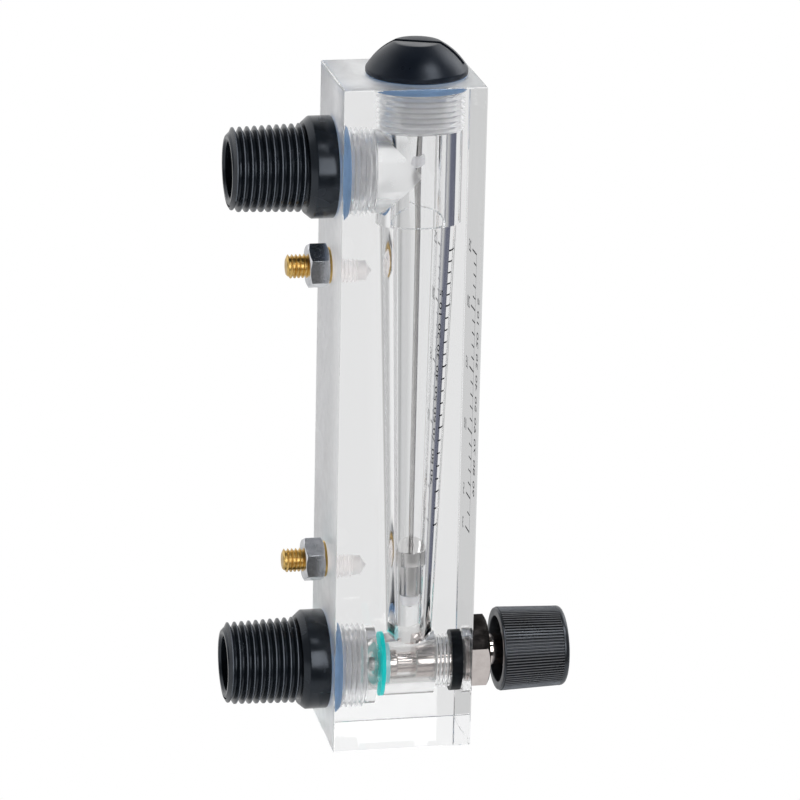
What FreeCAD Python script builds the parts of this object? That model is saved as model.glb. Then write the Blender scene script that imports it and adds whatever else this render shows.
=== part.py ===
import FreeCAD, Part
import math
import os

# Rotameter: a clear block with a tapered measuring bore, a float on a guide rod, two pipe
# fittings at the back and a valve at the front. All sizes are in millimetres.
# X is the width, -Y the scale side, +Y the piping side, +Z up. The origin is the middle of
# the block's base.

# Block
block_width = 31.5
block_depth = 35.0
block_height = 170.0
block_edge = 0.35
bore_offset = 3.2
inlet_height = 19.3
outlet_depth = 22.7
lower_stud_rise = 26.7
upper_stud_drop = 24.9

# Clearances, and how far a cutting shape runs past the face that it opens
overcut = 1.0
slide_clearance = 0.06
thread_clearance = 0.08
seal_clearance = 0.03
seal_wall_clearance = 0.25
screw_end_gap = 1.0

# Seat for a sealing ring at the mouth of each threaded hole
ring_seat_radius = 12.3
ring_seat_straight = 1.6
ring_seat_bevel = 1.2

# Measuring bore, from the top down
hole_thread_radius = 10.95
top_thread_depth = 12.6
chamber_radius = 10.5
chamber_depth = 35.8
taper_top_radius = 9.5
taper_bottom_radius = 5.8

# Pipe ports
port_thread_depth = 9.3
outlet_bore_step = 0.03
inlet_pocket_radius = 10.2
inlet_pocket_depth = 11.7
valve_web = 1.3
web_hole_radius = 5.0

# Valve bore, from the web to the scale side
valve_chamber_radius = 8.4
valve_chamber_length = 13.8
gland_thread_radius = 7.0
gland_seat_depth = 3.9
gland_mouth_depth = 1.0
flange_clearance = 0.3

# Pipe fittings
collar_radius = 12.5
collar_length = 6.9
collar_bevel = 1.6
collar_bevel_rise = 1.35
fitting_neck_radius = 9.5
neck_gap = 1.3
fitting_bore_radius = 7.0
bore_edge = 0.6
pipe_ridge_spacing = 1.8143
pipe_crests = 10
pipe_gauge_radius = 10.4775
pipe_gauge_length = 8.2
pipe_gauge_crest = 4
pipe_taper = 1 / 32
pipe_thread_height = 1.16
pipe_crest_land = 0.3
pipe_flank_angle = 27.5
pipe_end_edge = 0.7

# Sealing rings of the fittings and of the cap
port_ring_section = 1.25
port_ring_gap = 0.05
cap_ring_section = 1.4
cap_ring_proud = 0.35

# Top cap
cap_radius = 12.5
cap_rim_lift = 0.45
cap_rim_height = 1.0
cap_rise = 7.9
cap_flat_radius = 5.7
cap_crown_lift = 0.75
cap_crown_round = 15.8
cap_rim_round = 0.5
cap_flat_round = 1.2
cap_neck_radius = 9.3
cap_slot_width = 2.0
cap_slot_depth = 5.0
cap_slot_turn = 20.8
stem_edge = 0.5

# Guide rod with its two stops
rod_radius = 1.0
rod_socket_depth = 6.0
rod_end_height = 33.4
upper_stop_gap = 7.3
upper_stop_radius = 2.2
upper_stop_length = 2.6
lower_stop_radius = 3.8
lower_stop_length = 2.7
stop_round = 0.8

# Float
float_rest_height = 37.3
float_body_radius = 4.45
float_body_length = 8.5
float_head_radius = 5.9
float_head_length = 3.85
float_edge = 0.45

# Panel studs with their nuts and washers
stud_radius = 2.95
stud_edge = 0.6
stud_thread_spacing = 1.0
stud_thread_height = 0.55
stud_crest_land = 0.14
stud_first_crest = 0.4
stud_flank_angle = 30.0
engaged_thread_radius = 2.675
stud_engagement = 6.2
stud_reach = 10.8
stud_hole_depth = 7.8
drill_point_angle = 118.0
nut_across_flats = 10.0
nut_thickness = 5.0
nut_edge_angle = 30.0
nut_face_inset = 0.2
nut_mouth_radius = 3.15
upper_nut_turn = 26.0
lower_nut_turn = 28.5
washer_radius = 4.5
washer_hole_radius = 3.2
washer_thickness = 0.6

# Valve head and its seal
seal_thickness = 1.1
head_thickness = 1.1
head_hole_radius = 1.6
seal_screw_radius = 1.5
seal_screw_grip = 3.0
seal_screw_head_radius = 2.8
seal_screw_head_length = 1.6
screw_slot_width = 0.7
screw_slot_depth = 0.7

# Valve spindle
spindle_flange_radius = 5.4
spindle_flange_length = 2.4
spindle_radius = 4.0
spindle_ring_groove_radius = 3.0
spindle_ring_groove_length = 2.4
spindle_groove_from_nose = 5.6
spindle_end_radius = 2.5
spindle_end_length = 9.0
spindle_edge = 0.4

# Valve gland
gland_nose_radius = 6.2
gland_nose_length = 4.6
gland_neck_radius = 6.0
gland_flange_radius = 8.5
gland_flange_length = 0.6
gland_hex_across_flats = 18.0
gland_hex_length = 6.3
gland_hex_turn = 38.3
gland_seal_outer_radius = 8.0
gland_seal_length = 2.9
gland_seal_round = 0.5

# Knob
knob_gap = 3.2
knob_length = 17.1
knob_tip_radius = 10.65
knob_root_radius = 10.3
knob_rib_count = 84
knob_draft = 0.5
knob_back_rim = 0.6
knob_front_rim = 1.5
knob_front_round = 1.1
knob_skirt_radius = 8.4
knob_skirt_depth = 8.0
knob_hub_radius = 5.6
knob_hub_setback = 2.2
knob_insert_radius = 4.2
knob_front_wall = 3.4
knob_recess_radius = 3.6
knob_recess_depth = 2.0
knob_screw_radius = 1.5
knob_screw_grip = 5.0
knob_screw_head_radius = 2.8
knob_screw_head_length = 1.5

# Places that follow from the sizes above
back_face = block_depth / 2
scale_face = -block_depth / 2
outlet_height = block_height - outlet_depth
lower_stud_height = inlet_height + lower_stud_rise
upper_stud_height = outlet_height - upper_stud_drop
chamber_floor = block_height - chamber_depth
taper_bottom = inlet_height + valve_chamber_radius
port_seat_depth = ring_seat_straight + ring_seat_bevel
web_back = back_face - inlet_pocket_depth
web_front = web_back - valve_web
head_front = web_front - seal_thickness
spindle_front = head_front - head_thickness
chamber_front = web_front - valve_chamber_length
gland_seat = scale_face + gland_seat_depth
gland_mouth = scale_face + gland_mouth_depth
gland_mouth_radius = gland_flange_radius + flange_clearance
gland_nose = chamber_front + gland_nose_length
hex_front = scale_face - gland_hex_length
knob_back = hex_front - knob_gap
knob_front = knob_back - knob_length
stem_radius = hole_thread_radius - thread_clearance
stem_bottom = block_height - top_thread_depth
collar_front = back_face + collar_length
cap_top = block_height + cap_rise
washer_front = back_face + washer_thickness
nut_front = washer_front + nut_thickness
knob_hub_back = knob_back - knob_hub_setback
knob_wall_back = knob_front + knob_front_wall

TO_BACK = FreeCAD.Vector(0, 1, 0)
TO_FRONT = FreeCAD.Vector(0, -1, 0)
UP = FreeCAD.Vector(0, 0, 1)
ABOVE_INLET = FreeCAD.Vector(0, 0, inlet_height)
ABOVE_OUTLET = FreeCAD.Vector(0, 0, outlet_height)
BORE_FOOT = FreeCAD.Vector(0, -bore_offset, 0)
LOWER_STUD = FreeCAD.Vector(0, 0, lower_stud_height)
UPPER_STUD = FreeCAD.Vector(0, 0, upper_stud_height)


def corner_arc(before, corner, after, radius):
    """Start, middle and end of the arc that rounds a corner, each a vector in the X-Z plane."""
    one = (before - corner).normalize()
    two = (after - corner).normalize()
    half = one.getAngle(two) / 2
    reach = radius / math.tan(half)
    centre = corner + (one + two).normalize() * (radius / math.sin(half))
    middle = centre + (corner - centre).normalize() * radius
    return corner + one * reach, middle, corner + two * reach


def outline_face(corners):
    """Closed flat face from (radius, height) or (radius, height, rounding) corners."""
    points = [FreeCAD.Vector(c[0], 0, c[1]) for c in corners]
    count = len(points)
    ends = []
    edges = []
    for i, corner in enumerate(corners):
        if len(corner) < 3:
            ends.append((points[i], points[i]))
            continue
        start, middle, end = corner_arc(points[i - 1], points[i], points[(i + 1) % count], corner[2])
        edges.append(Part.Arc(start, middle, end).toShape())
        ends.append((start, end))
    for i in range(count):
        leave, arrive = ends[i][1], ends[(i + 1) % count][0]
        if leave.distanceToPoint(arrive) > 1e-7:
            edges.append(Part.makeLine(leave, arrive))
    return Part.Face(Part.Wire(Part.__sortEdges__(edges)))


def placed(shape, base, direction):
    """A shape made along +Z, turned to point along direction and moved to base."""
    shape.Placement = FreeCAD.Placement(base, FreeCAD.Rotation(UP, direction))
    return shape


def turned(corners, base, direction):
    """Solid turned from an outline of (radius, height) corners about a line through base."""
    solid = outline_face(corners).revolve(FreeCAD.Vector(), UP, 360)
    return placed(solid, base, direction)


def rod(radius, start, end, base, direction):
    """Plain round bar from start to end along direction."""
    return turned([(0, start), (radius, start), (radius, end), (0, end)], base, direction)


def ring(section, radius, station, base, direction):
    """Round sealing ring: its section's radius, and the radius and station of the section's middle."""
    loop = Part.makeTorus(radius, section, FreeCAD.Vector(0, 0, station), UP)
    return placed(loop, base, direction)


def hex_bar(across_flats, start, end, turn, edge_start, edge_end):
    """Hexagonal bar along +Z with its corners bevelled at either end."""
    corner = across_flats / math.sqrt(3)
    angles = [math.radians(turn + 60 * i) for i in range(7)]
    points = [FreeCAD.Vector(corner * math.cos(a), corner * math.sin(a), start) for a in angles]
    bar = Part.Face(Part.makePolygon(points)).extrude(UP * (end - start))
    face = across_flats / 2 - nut_face_inset
    outside = corner + nut_face_inset
    run = (outside - face) * math.tan(math.radians(nut_edge_angle))
    low = [(0, start), (outside, start)]
    high = [(outside, end), (0, end)]
    if edge_start:
        low = [(0, start), (face, start), (outside, start + run)]
    if edge_end:
        high = [(outside, end - run), (face, end), (0, end)]
    return bar.common(turned(low + high, FreeCAD.Vector(), UP))


def ring_seat_outline(depth, radius):
    """Outline of a threaded hole that opens in a bevelled seat; heights run into the block."""
    seat_end = ring_seat_radius - ring_seat_bevel
    return [
        (0, -overcut), (ring_seat_radius, -overcut), (ring_seat_radius, ring_seat_straight),
        (seat_end, port_seat_depth), (radius, port_seat_depth), (radius, depth), (0, depth),
    ]


def measuring_bore():
    """Threaded mouth, plain chamber and tapered bore, cut from the top."""
    mouth = turned(
        ring_seat_outline(top_thread_depth, hole_thread_radius),
        BORE_FOOT + UP * block_height, FreeCAD.Vector(0, 0, -1),
    )
    chamber = rod(chamber_radius, chamber_floor, stem_bottom + overcut, BORE_FOOT, UP)
    slope = (taper_top_radius - taper_bottom_radius) / (chamber_floor - taper_bottom)
    foot_radius = taper_bottom_radius - slope * valve_chamber_radius
    taper = turned(
        [
            (0, inlet_height), (foot_radius, inlet_height),
            (taper_top_radius, chamber_floor), (0, chamber_floor),
        ],
        BORE_FOOT, UP,
    )
    return [mouth, chamber, taper]


def port_bores():
    """The two threaded ports at the back, the outlet's way into the chamber and the inlet's pocket."""
    cuts = []
    for height in (ABOVE_INLET, ABOVE_OUTLET):
        mouth = ring_seat_outline(port_thread_depth, hole_thread_radius)
        cuts.append(turned(mouth, height + TO_BACK * back_face, TO_FRONT))
    mouth_end = back_face - port_thread_depth + overcut
    cuts.append(rod(chamber_radius - outlet_bore_step, -bore_offset, mouth_end, ABOVE_OUTLET, TO_BACK))
    cuts.append(rod(inlet_pocket_radius, web_back, mouth_end, ABOVE_INLET, TO_BACK))
    cuts.append(rod(web_hole_radius, web_front - overcut, web_back + overcut, ABOVE_INLET, TO_BACK))
    return cuts


def valve_bore():
    """Valve chamber, gland thread, the seat of the gland's seal and its mouth, along the valve's axis."""
    seat_radius = gland_seal_outer_radius + seal_clearance
    steps = turned(
        [
            (0, -web_front), (valve_chamber_radius, -web_front), (valve_chamber_radius, -chamber_front),
            (gland_thread_radius, -chamber_front), (gland_thread_radius, -gland_seat),
            (seat_radius, -gland_seat), (seat_radius, -gland_mouth), (gland_mouth_radius, -gland_mouth),
            (gland_mouth_radius, overcut - scale_face), (0, overcut - scale_face),
        ],
        ABOVE_INLET, TO_FRONT,
    )
    return [steps]


def stud_holes():
    """Blind drilled holes for the panel studs."""
    radius = engaged_thread_radius + thread_clearance
    point = radius / math.tan(math.radians(drill_point_angle / 2))
    outline = [(0, -overcut), (radius, -overcut), (radius, stud_hole_depth), (0, stud_hole_depth + point)]
    return [turned(outline, height + TO_BACK * back_face, TO_FRONT) for height in (LOWER_STUD, UPPER_STUD)]


def make_block():
    """Clear block with all its bores."""
    corner = FreeCAD.Vector(-block_width / 2, -block_depth / 2, 0)
    block = Part.makeBox(block_width, block_depth, block_height, corner)
    block = block.makeChamfer(block_edge, block.Edges)
    return block.cut(measuring_bore() + port_bores() + valve_bore() + stud_holes())


def pipe_thread_outline():
    """Tapered ridges of the pipe thread, from the collar to the free end."""
    end = pipe_end()
    root_at_neck = pipe_radius(collar_front + neck_gap) - pipe_thread_height
    half_land = pipe_crest_land / 2
    half_foot = half_land + pipe_thread_height * math.tan(math.radians(pipe_flank_angle))
    corners = [(root_at_neck, collar_front)]
    for i in range(pipe_crests):
        middle = pipe_crest_station(i)
        crest = pipe_radius(middle)
        root = crest - pipe_thread_height
        corners += [
            (root, middle - half_foot), (crest, middle - half_land),
            (crest, middle + half_land), (root, middle + half_foot),
        ]
    last_root = corners[-1][0]
    corners += [(last_root, end - pipe_end_edge), (last_root - pipe_end_edge, end)]
    return corners


def pipe_crest_station(i):
    """Place of a pipe thread's ridge along Y, counted from the collar."""
    gauge = pipe_end() - pipe_gauge_length
    return gauge + (i - (pipe_crests - 1 - pipe_gauge_crest)) * pipe_ridge_spacing


def pipe_radius(station):
    """Radius of the pipe thread's ridges at a place along Y."""
    return pipe_gauge_radius - (station - (pipe_end() - pipe_gauge_length)) * pipe_taper


def pipe_end():
    """Place of a fitting's free end along Y."""
    ridges_from_gauge = pipe_crests - 1 - pipe_gauge_crest
    return collar_front + neck_gap + ridges_from_gauge * pipe_ridge_spacing + pipe_gauge_length


def make_fitting(height):
    """Pipe fitting: bore, shank in the block, collar and tapered thread, turned in one piece."""
    shank_end = back_face - port_thread_depth + thread_clearance
    neck_end = back_face - port_seat_depth
    corners = [
        (fitting_bore_radius, shank_end), (stem_radius - stem_edge, shank_end),
        (stem_radius, shank_end + stem_edge), (stem_radius, neck_end), (fitting_neck_radius, neck_end),
        (fitting_neck_radius, back_face), (collar_radius, back_face),
        (collar_radius, collar_front - collar_bevel), (collar_radius - collar_bevel_rise, collar_front),
    ]
    corners += pipe_thread_outline()
    end = pipe_end()
    corners += [(fitting_bore_radius + bore_edge, end), (fitting_bore_radius, end - bore_edge)]
    return turned(corners, height, TO_BACK)


def make_port_ring(height):
    """Sealing ring round a fitting's neck."""
    middle = fitting_neck_radius + seal_clearance + port_ring_section
    station = back_face - port_ring_gap - port_ring_section
    return ring(port_ring_section, middle, station, height, TO_BACK)


def make_cap():
    """Screw-in cap with a sloping crown, a flat top and a driver slot."""
    rim_low = block_height + cap_rim_lift
    rim_high = rim_low + cap_rim_height
    bulge_radius = (cap_radius + cap_flat_radius) / 2 + cap_crown_lift
    bulge_height = (rim_high + cap_top) / 2 + cap_crown_lift
    corners = [
        (0, stem_bottom), (stem_radius - stem_edge, stem_bottom), (stem_radius, stem_bottom + stem_edge),
        (stem_radius, block_height - port_seat_depth), (cap_neck_radius, block_height - port_seat_depth),
        (cap_neck_radius, rim_low), (cap_radius, rim_low, cap_rim_round), (cap_radius, rim_high),
        (bulge_radius, bulge_height, cap_crown_round), (cap_flat_radius, cap_top, cap_flat_round),
        (0, cap_top),
    ]
    cap = turned(corners, BORE_FOOT, UP)
    slot = Part.makeBox(
        cap_slot_width, 4 * cap_radius, 2 * cap_slot_depth,
        FreeCAD.Vector(-cap_slot_width / 2, -2 * cap_radius, cap_top - cap_slot_depth),
    )
    slot.rotate(FreeCAD.Vector(), UP, -cap_slot_turn)
    slot.translate(BORE_FOOT)
    socket_radius = rod_radius + seal_clearance
    socket = rod(socket_radius, stem_bottom - overcut, stem_bottom + rod_socket_depth, BORE_FOOT, UP)
    return cap.cut([slot, socket])


def make_cap_ring():
    """Sealing ring under the cap's rim."""
    middle = cap_neck_radius + seal_clearance + cap_ring_section
    station = block_height + cap_ring_proud - cap_ring_section
    return ring(cap_ring_section, middle, station, BORE_FOOT, UP)


def make_guide_rod():
    """Rod from the cap's socket down past the float's lower stop."""
    return rod(rod_radius, rod_end_height, stem_bottom + rod_socket_depth - seal_clearance, BORE_FOOT, UP)


def make_stop(radius, start, end):
    """Soft stop that is pushed onto the guide rod."""
    inner = rod_radius + seal_clearance
    corners = [(inner, start), (radius, start, stop_round), (radius, end, stop_round), (inner, end)]
    return turned(corners, BORE_FOOT, UP)


def make_float():
    """Float with a wider head, bored for the guide rod."""
    inner = rod_radius + slide_clearance
    shoulder = float_rest_height + float_body_length
    top = shoulder + float_head_length
    corners = [
        (inner, float_rest_height), (float_body_radius - float_edge, float_rest_height),
        (float_body_radius, float_rest_height + float_edge), (float_body_radius, shoulder),
        (float_head_radius, shoulder), (float_head_radius, top), (inner, top),
    ]
    return turned(corners, BORE_FOOT, UP)


def make_stud(height):
    """Panel stud: a plain shank where it is screwed into block and nut, ridges where it stands free."""
    start = back_face - stud_engagement
    end = back_face + stud_reach
    root = stud_radius - stud_thread_height
    half_land = stud_crest_land / 2
    half_foot = half_land + stud_thread_height * math.tan(math.radians(stud_flank_angle))
    corners = [
        (0, start), (engaged_thread_radius - stud_edge, start), (engaged_thread_radius, start + stud_edge),
        (engaged_thread_radius, nut_front), (root, nut_front),
    ]
    middle = nut_front + stud_first_crest
    while middle + half_foot < end - stud_edge / 2:
        corners += [
            (root, middle - half_foot), (stud_radius, middle - half_land),
            (stud_radius, middle + half_land), (root, middle + half_foot),
        ]
        middle += stud_thread_spacing
    corners += [(root, end - stud_edge / 2), (root - stud_edge / 2, end), (0, end)]
    return turned(corners, height, TO_BACK)


def make_nut(height, turn):
    """Hexagonal nut that holds a stud's washer against the block."""
    nut = placed(hex_bar(nut_across_flats, washer_front, nut_front, turn, True, True), height, TO_BACK)
    radius = engaged_thread_radius + thread_clearance
    mouth = nut_mouth_radius - radius
    hole = turned(
        [
            (0, washer_front - overcut), (nut_mouth_radius, washer_front - overcut),
            (nut_mouth_radius, washer_front), (radius, washer_front + mouth), (radius, nut_front - mouth),
            (nut_mouth_radius, nut_front), (nut_mouth_radius, nut_front + overcut), (0, nut_front + overcut),
        ],
        height, TO_BACK,
    )
    return nut.cut(hole)


def make_washer(height):
    """Flat washer between a nut and the block."""
    corners = [
        (washer_hole_radius, back_face), (washer_radius, back_face),
        (washer_radius, washer_front), (washer_hole_radius, washer_front),
    ]
    return turned(corners, height, TO_BACK)


def head_disc(start, end):
    """Disc with a screw hole that fits the valve chamber; heights run towards the scale side."""
    outer = valve_chamber_radius - seal_wall_clearance
    corners = [(head_hole_radius, start), (outer, start), (outer, end), (head_hole_radius, end)]
    return turned(corners, ABOVE_INLET, TO_FRONT)


def slotted_screw(seat, shank_radius, grip, head_radius, head_length, turn):
    """Cheese-head screw along +Z: the head's underside is at seat and the shank runs below it."""
    corners = [
        (0, seat - grip), (shank_radius, seat - grip), (shank_radius, seat), (head_radius, seat),
        (head_radius, seat + head_length), (0, seat + head_length),
    ]
    slot = Part.makeBox(
        screw_slot_width, 4 * head_radius, 2 * screw_slot_depth,
        FreeCAD.Vector(-screw_slot_width / 2, -2 * head_radius, seat + head_length - screw_slot_depth),
    )
    slot.rotate(FreeCAD.Vector(), UP, turn)
    return turned(corners, FreeCAD.Vector(), UP).cut(slot)


def make_seal_screw():
    """Screw that holds the seal and the head on the spindle's end."""
    grip = seal_thickness + head_thickness + seal_screw_grip
    screw = slotted_screw(
        web_front, seal_screw_radius, grip, seal_screw_head_radius, seal_screw_head_length, cap_slot_turn,
    )
    return placed(screw, ABOVE_INLET, TO_BACK)


def make_spindle():
    """Valve spindle: flange, threaded stem with a ring groove, and the end that the knob sits on."""
    groove_start = spindle_groove_from_nose - gland_nose
    stem_end = -knob_hub_back
    end = stem_end + spindle_end_length
    corners = [
        (0, -spindle_front), (spindle_flange_radius, -spindle_front),
        (spindle_flange_radius, spindle_flange_length - spindle_front),
        (spindle_radius, spindle_flange_length - spindle_front), (spindle_radius, groove_start),
        (spindle_ring_groove_radius, groove_start),
        (spindle_ring_groove_radius, groove_start + spindle_ring_groove_length),
        (spindle_radius, groove_start + spindle_ring_groove_length),
        (spindle_radius, stem_end - spindle_edge),
        (spindle_radius - spindle_edge, stem_end), (spindle_end_radius, stem_end),
        (spindle_end_radius, end), (0, end),
    ]
    spindle = turned(corners, ABOVE_INLET, TO_FRONT)
    front_hole = rod(
        seal_screw_radius + seal_clearance, spindle_front - seal_screw_grip - seal_clearance,
        spindle_front + overcut, ABOVE_INLET, TO_BACK,
    )
    knob_hole = rod(
        knob_screw_radius + seal_clearance, end - knob_screw_grip, end + overcut, ABOVE_INLET, TO_FRONT,
    )
    return spindle.cut([front_hole, knob_hole])


def make_spindle_ring():
    """Sealing ring in the spindle's groove."""
    groove = spindle_radius + slide_clearance - spindle_ring_groove_radius
    section = groove / 2 - seal_clearance
    middle = spindle_ring_groove_radius + groove / 2 - seal_clearance / 2
    station = spindle_groove_from_nose - gland_nose + spindle_ring_groove_length / 2
    return ring(section, middle, station, ABOVE_INLET, TO_FRONT)


def make_gland():
    """Gland: nose, thread, neck for its seal, flange and hexagon, turned in one piece."""
    bore = spindle_radius + slide_clearance
    thread_radius = gland_thread_radius - thread_clearance
    corners = [
        (bore, -gland_nose), (gland_nose_radius, -gland_nose), (gland_nose_radius, -chamber_front),
        (thread_radius, -chamber_front), (thread_radius, -gland_seat), (gland_neck_radius, -gland_seat),
        (gland_neck_radius, -scale_face - gland_flange_length),
        (gland_flange_radius, -scale_face - gland_flange_length), (gland_flange_radius, -scale_face),
        (bore, -scale_face),
    ]
    body = turned(corners, ABOVE_INLET, TO_FRONT)
    bar = hex_bar(gland_hex_across_flats, -scale_face, -hex_front, gland_hex_turn, False, True)
    hexagon = placed(bar, ABOVE_INLET, TO_FRONT)
    hole = rod(bore, -scale_face - overcut, -hex_front + overcut, ABOVE_INLET, TO_FRONT)
    return body.fuse(hexagon.cut(hole)).removeSplitter()


def make_gland_seal():
    """Thick rubber washer between the gland's flange and the block."""
    inner = gland_neck_radius + seal_clearance
    start = -gland_seat + seal_clearance
    end = start + gland_seal_length
    corners = [
        (inner, start), (gland_seal_outer_radius, start, gland_seal_round),
        (gland_seal_outer_radius, end, gland_seal_round), (inner, end),
    ]
    return turned(corners, ABOVE_INLET, TO_FRONT)


def ribbed_outline(station):
    """Outline across the knob's ribs at a station; the knob narrows towards its front."""
    step = 2 * math.pi / knob_rib_count
    narrowing = knob_narrowing(station)
    points = []
    for i in range(knob_rib_count):
        for share, radius in (
            (0.0, knob_tip_radius), (0.25, knob_tip_radius),
            (0.5, knob_root_radius), (0.75, knob_root_radius),
        ):
            angle = (i + share) * step
            reach = radius - narrowing
            points.append(FreeCAD.Vector(reach * math.cos(angle), reach * math.sin(angle), station))
    points.append(points[0])
    return Part.makePolygon(points)


def knob_narrowing(station):
    """Radius that the knob has lost at a station, counted from its back."""
    return knob_draft * (station + knob_back) / knob_length


def make_knob():
    """Ribbed knob with a hollow skirt, a hub and a recess for its screw."""
    back, front = -knob_back, -knob_front
    skirt_floor = back + knob_skirt_depth
    hub_back = -knob_hub_back
    rib_end = front - knob_front_rim
    root_at_end = knob_root_radius - knob_narrowing(rib_end)
    tip_at_end = knob_tip_radius - knob_narrowing(rib_end)
    front_tip = knob_tip_radius - knob_draft
    core = turned(
        [
            (knob_insert_radius + seal_clearance, hub_back), (knob_hub_radius, hub_back),
            (knob_hub_radius, skirt_floor), (knob_skirt_radius, skirt_floor), (knob_skirt_radius, back),
            (knob_root_radius, back), (root_at_end, rib_end), (tip_at_end, rib_end),
            (front_tip, front, knob_front_round), (knob_recess_radius, front),
            (knob_recess_radius, front - knob_recess_depth),
            (knob_screw_radius + seal_clearance, front - knob_recess_depth),
            (knob_screw_radius + seal_clearance, -knob_wall_back),
            (knob_insert_radius + seal_clearance, -knob_wall_back),
        ],
        ABOVE_INLET, TO_FRONT,
    )
    outlines = [ribbed_outline(back + knob_back_rim), ribbed_outline(rib_end)]
    ribs = Part.makeLoft(outlines, True, True)
    inner = root_at_end - knob_back_rim
    ribs = ribs.cut(rod(inner, back, front, FreeCAD.Vector(), UP))
    return core.fuse(placed(ribs, ABOVE_INLET, TO_FRONT)).removeSplitter()


def make_knob_insert():
    """Metal sleeve in the knob's hub."""
    inner = spindle_end_radius + seal_clearance
    start, end = -knob_hub_back, -knob_wall_back - seal_clearance
    corners = [(inner, start), (knob_insert_radius, start), (knob_insert_radius, end), (inner, end)]
    return turned(corners, ABOVE_INLET, TO_FRONT)


def make_knob_screw():
    """Screw that holds the knob on the spindle."""
    seat = -knob_front - knob_recess_depth
    spindle_end = -knob_hub_back + spindle_end_length
    grip = seat - spindle_end + knob_screw_grip - screw_end_gap
    screw = slotted_screw(
        seat, knob_screw_radius, grip, knob_screw_head_radius, knob_screw_head_length, cap_slot_turn,
    )
    return placed(screw, ABOVE_INLET, TO_FRONT)


def all_pieces():
    """Every separate piece by the name of its node."""
    upper_stop_top = stem_bottom - upper_stop_gap
    return {
        "meter_block": make_block(),
        "top_cap": make_cap(),
        "cap_seal_ring": make_cap_ring(),
        "guide_rod": make_guide_rod(),
        "upper_float_stop": make_stop(
            upper_stop_radius, upper_stop_top - upper_stop_length, upper_stop_top,
        ),
        "lower_float_stop": make_stop(
            lower_stop_radius, float_rest_height - lower_stop_length, float_rest_height,
        ),
        "float": make_float(),
        "outlet_fitting": make_fitting(ABOVE_OUTLET),
        "outlet_seal_ring": make_port_ring(ABOVE_OUTLET),
        "inlet_fitting": make_fitting(ABOVE_INLET),
        "inlet_seal_ring": make_port_ring(ABOVE_INLET),
        "upper_stud": make_stud(UPPER_STUD),
        "upper_washer": make_washer(UPPER_STUD),
        "upper_nut": make_nut(UPPER_STUD, upper_nut_turn),
        "lower_stud": make_stud(LOWER_STUD),
        "lower_washer": make_washer(LOWER_STUD),
        "lower_nut": make_nut(LOWER_STUD, lower_nut_turn),
        "valve_seal": head_disc(-web_front, -head_front),
        "valve_head": head_disc(-head_front, -spindle_front),
        "seal_screw": make_seal_screw(),
        "valve_spindle": make_spindle(),
        "spindle_seal_ring": make_spindle_ring(),
        "valve_gland": make_gland(),
        "gland_seal": make_gland_seal(),
        "knob": make_knob(),
        "knob_insert": make_knob_insert(),
        "knob_screw": make_knob_screw(),
    }


os.makedirs("parts", exist_ok=True)
for name, shape in all_pieces().items():
    solid = shape.Solids[0] if len(shape.Solids) == 1 else shape
    solid.exportStep(os.path.join("parts", name + ".step"))
    print(name, len(shape.Solids), round(shape.Volume, 1), shape.isValid())
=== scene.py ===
import logging
import math
from dataclasses import dataclass
from enum import Enum
from typing import Any, Callable, Optional, Sequence

import bmesh
import bpy
from mathutils import Matrix, Vector


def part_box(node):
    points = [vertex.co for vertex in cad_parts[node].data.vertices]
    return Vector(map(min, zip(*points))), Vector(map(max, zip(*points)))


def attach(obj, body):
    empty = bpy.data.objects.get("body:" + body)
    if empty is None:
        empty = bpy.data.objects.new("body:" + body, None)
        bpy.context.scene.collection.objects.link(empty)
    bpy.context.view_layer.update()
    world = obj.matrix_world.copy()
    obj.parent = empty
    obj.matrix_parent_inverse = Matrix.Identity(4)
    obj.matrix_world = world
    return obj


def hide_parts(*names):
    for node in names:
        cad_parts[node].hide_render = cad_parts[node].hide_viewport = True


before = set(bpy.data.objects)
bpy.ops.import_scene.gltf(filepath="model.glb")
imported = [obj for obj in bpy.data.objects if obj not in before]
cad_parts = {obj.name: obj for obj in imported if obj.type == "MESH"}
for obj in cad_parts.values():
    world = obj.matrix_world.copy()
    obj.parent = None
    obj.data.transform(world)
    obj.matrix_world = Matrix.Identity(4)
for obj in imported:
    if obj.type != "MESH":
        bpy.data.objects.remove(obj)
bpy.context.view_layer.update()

LOG = logging.getLogger("rotameter")

# Millimetres in metres, and sizes in millimetres and degrees that several pieces share
MM = 0.001
SHARP_EDGE = 32.0
FLAT_AREA = 3.0
OVER = 1.0
STEM_PITCH = 1.3
STEM_ROOT = 9.2
SMALL_PITCH = 1.0
RIDGE_SINK = 0.12
HEX_MARGIN = 0.2
HEX_EDGE_ANGLE = 30.0
SLOT_TURN = 20.8
VALUE, POINT = "NodeSocketFloat", "NodeSocketVector"

Corner = tuple[float, ...]
Outline = list[tuple[float, float]]
Tint = tuple[float, float, float]
Panel = tuple[float, float | Tint]


class Way(Enum):
    """Directions that turned pieces and bores point in."""

    UP = (0.0, 0.0, 1.0)
    BACK = (0.0, 1.0, 0.0)
    FRONT = (0.0, -1.0, 0.0)


@dataclass(frozen=True)
class Line:
    """A line that round pieces are turned about: its foot in millimetres, and where it points."""

    foot: tuple[float, float, float]
    way: Way

    def matrix(self) -> Matrix:
        """Turns local +Z to the line's direction and moves the origin to its foot, in millimetres."""
        turn = Vector((0, 0, 1)).rotation_difference(Vector(self.way.value))
        return Matrix.Translation(Vector(self.foot)) @ turn.to_matrix().to_4x4()


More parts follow.
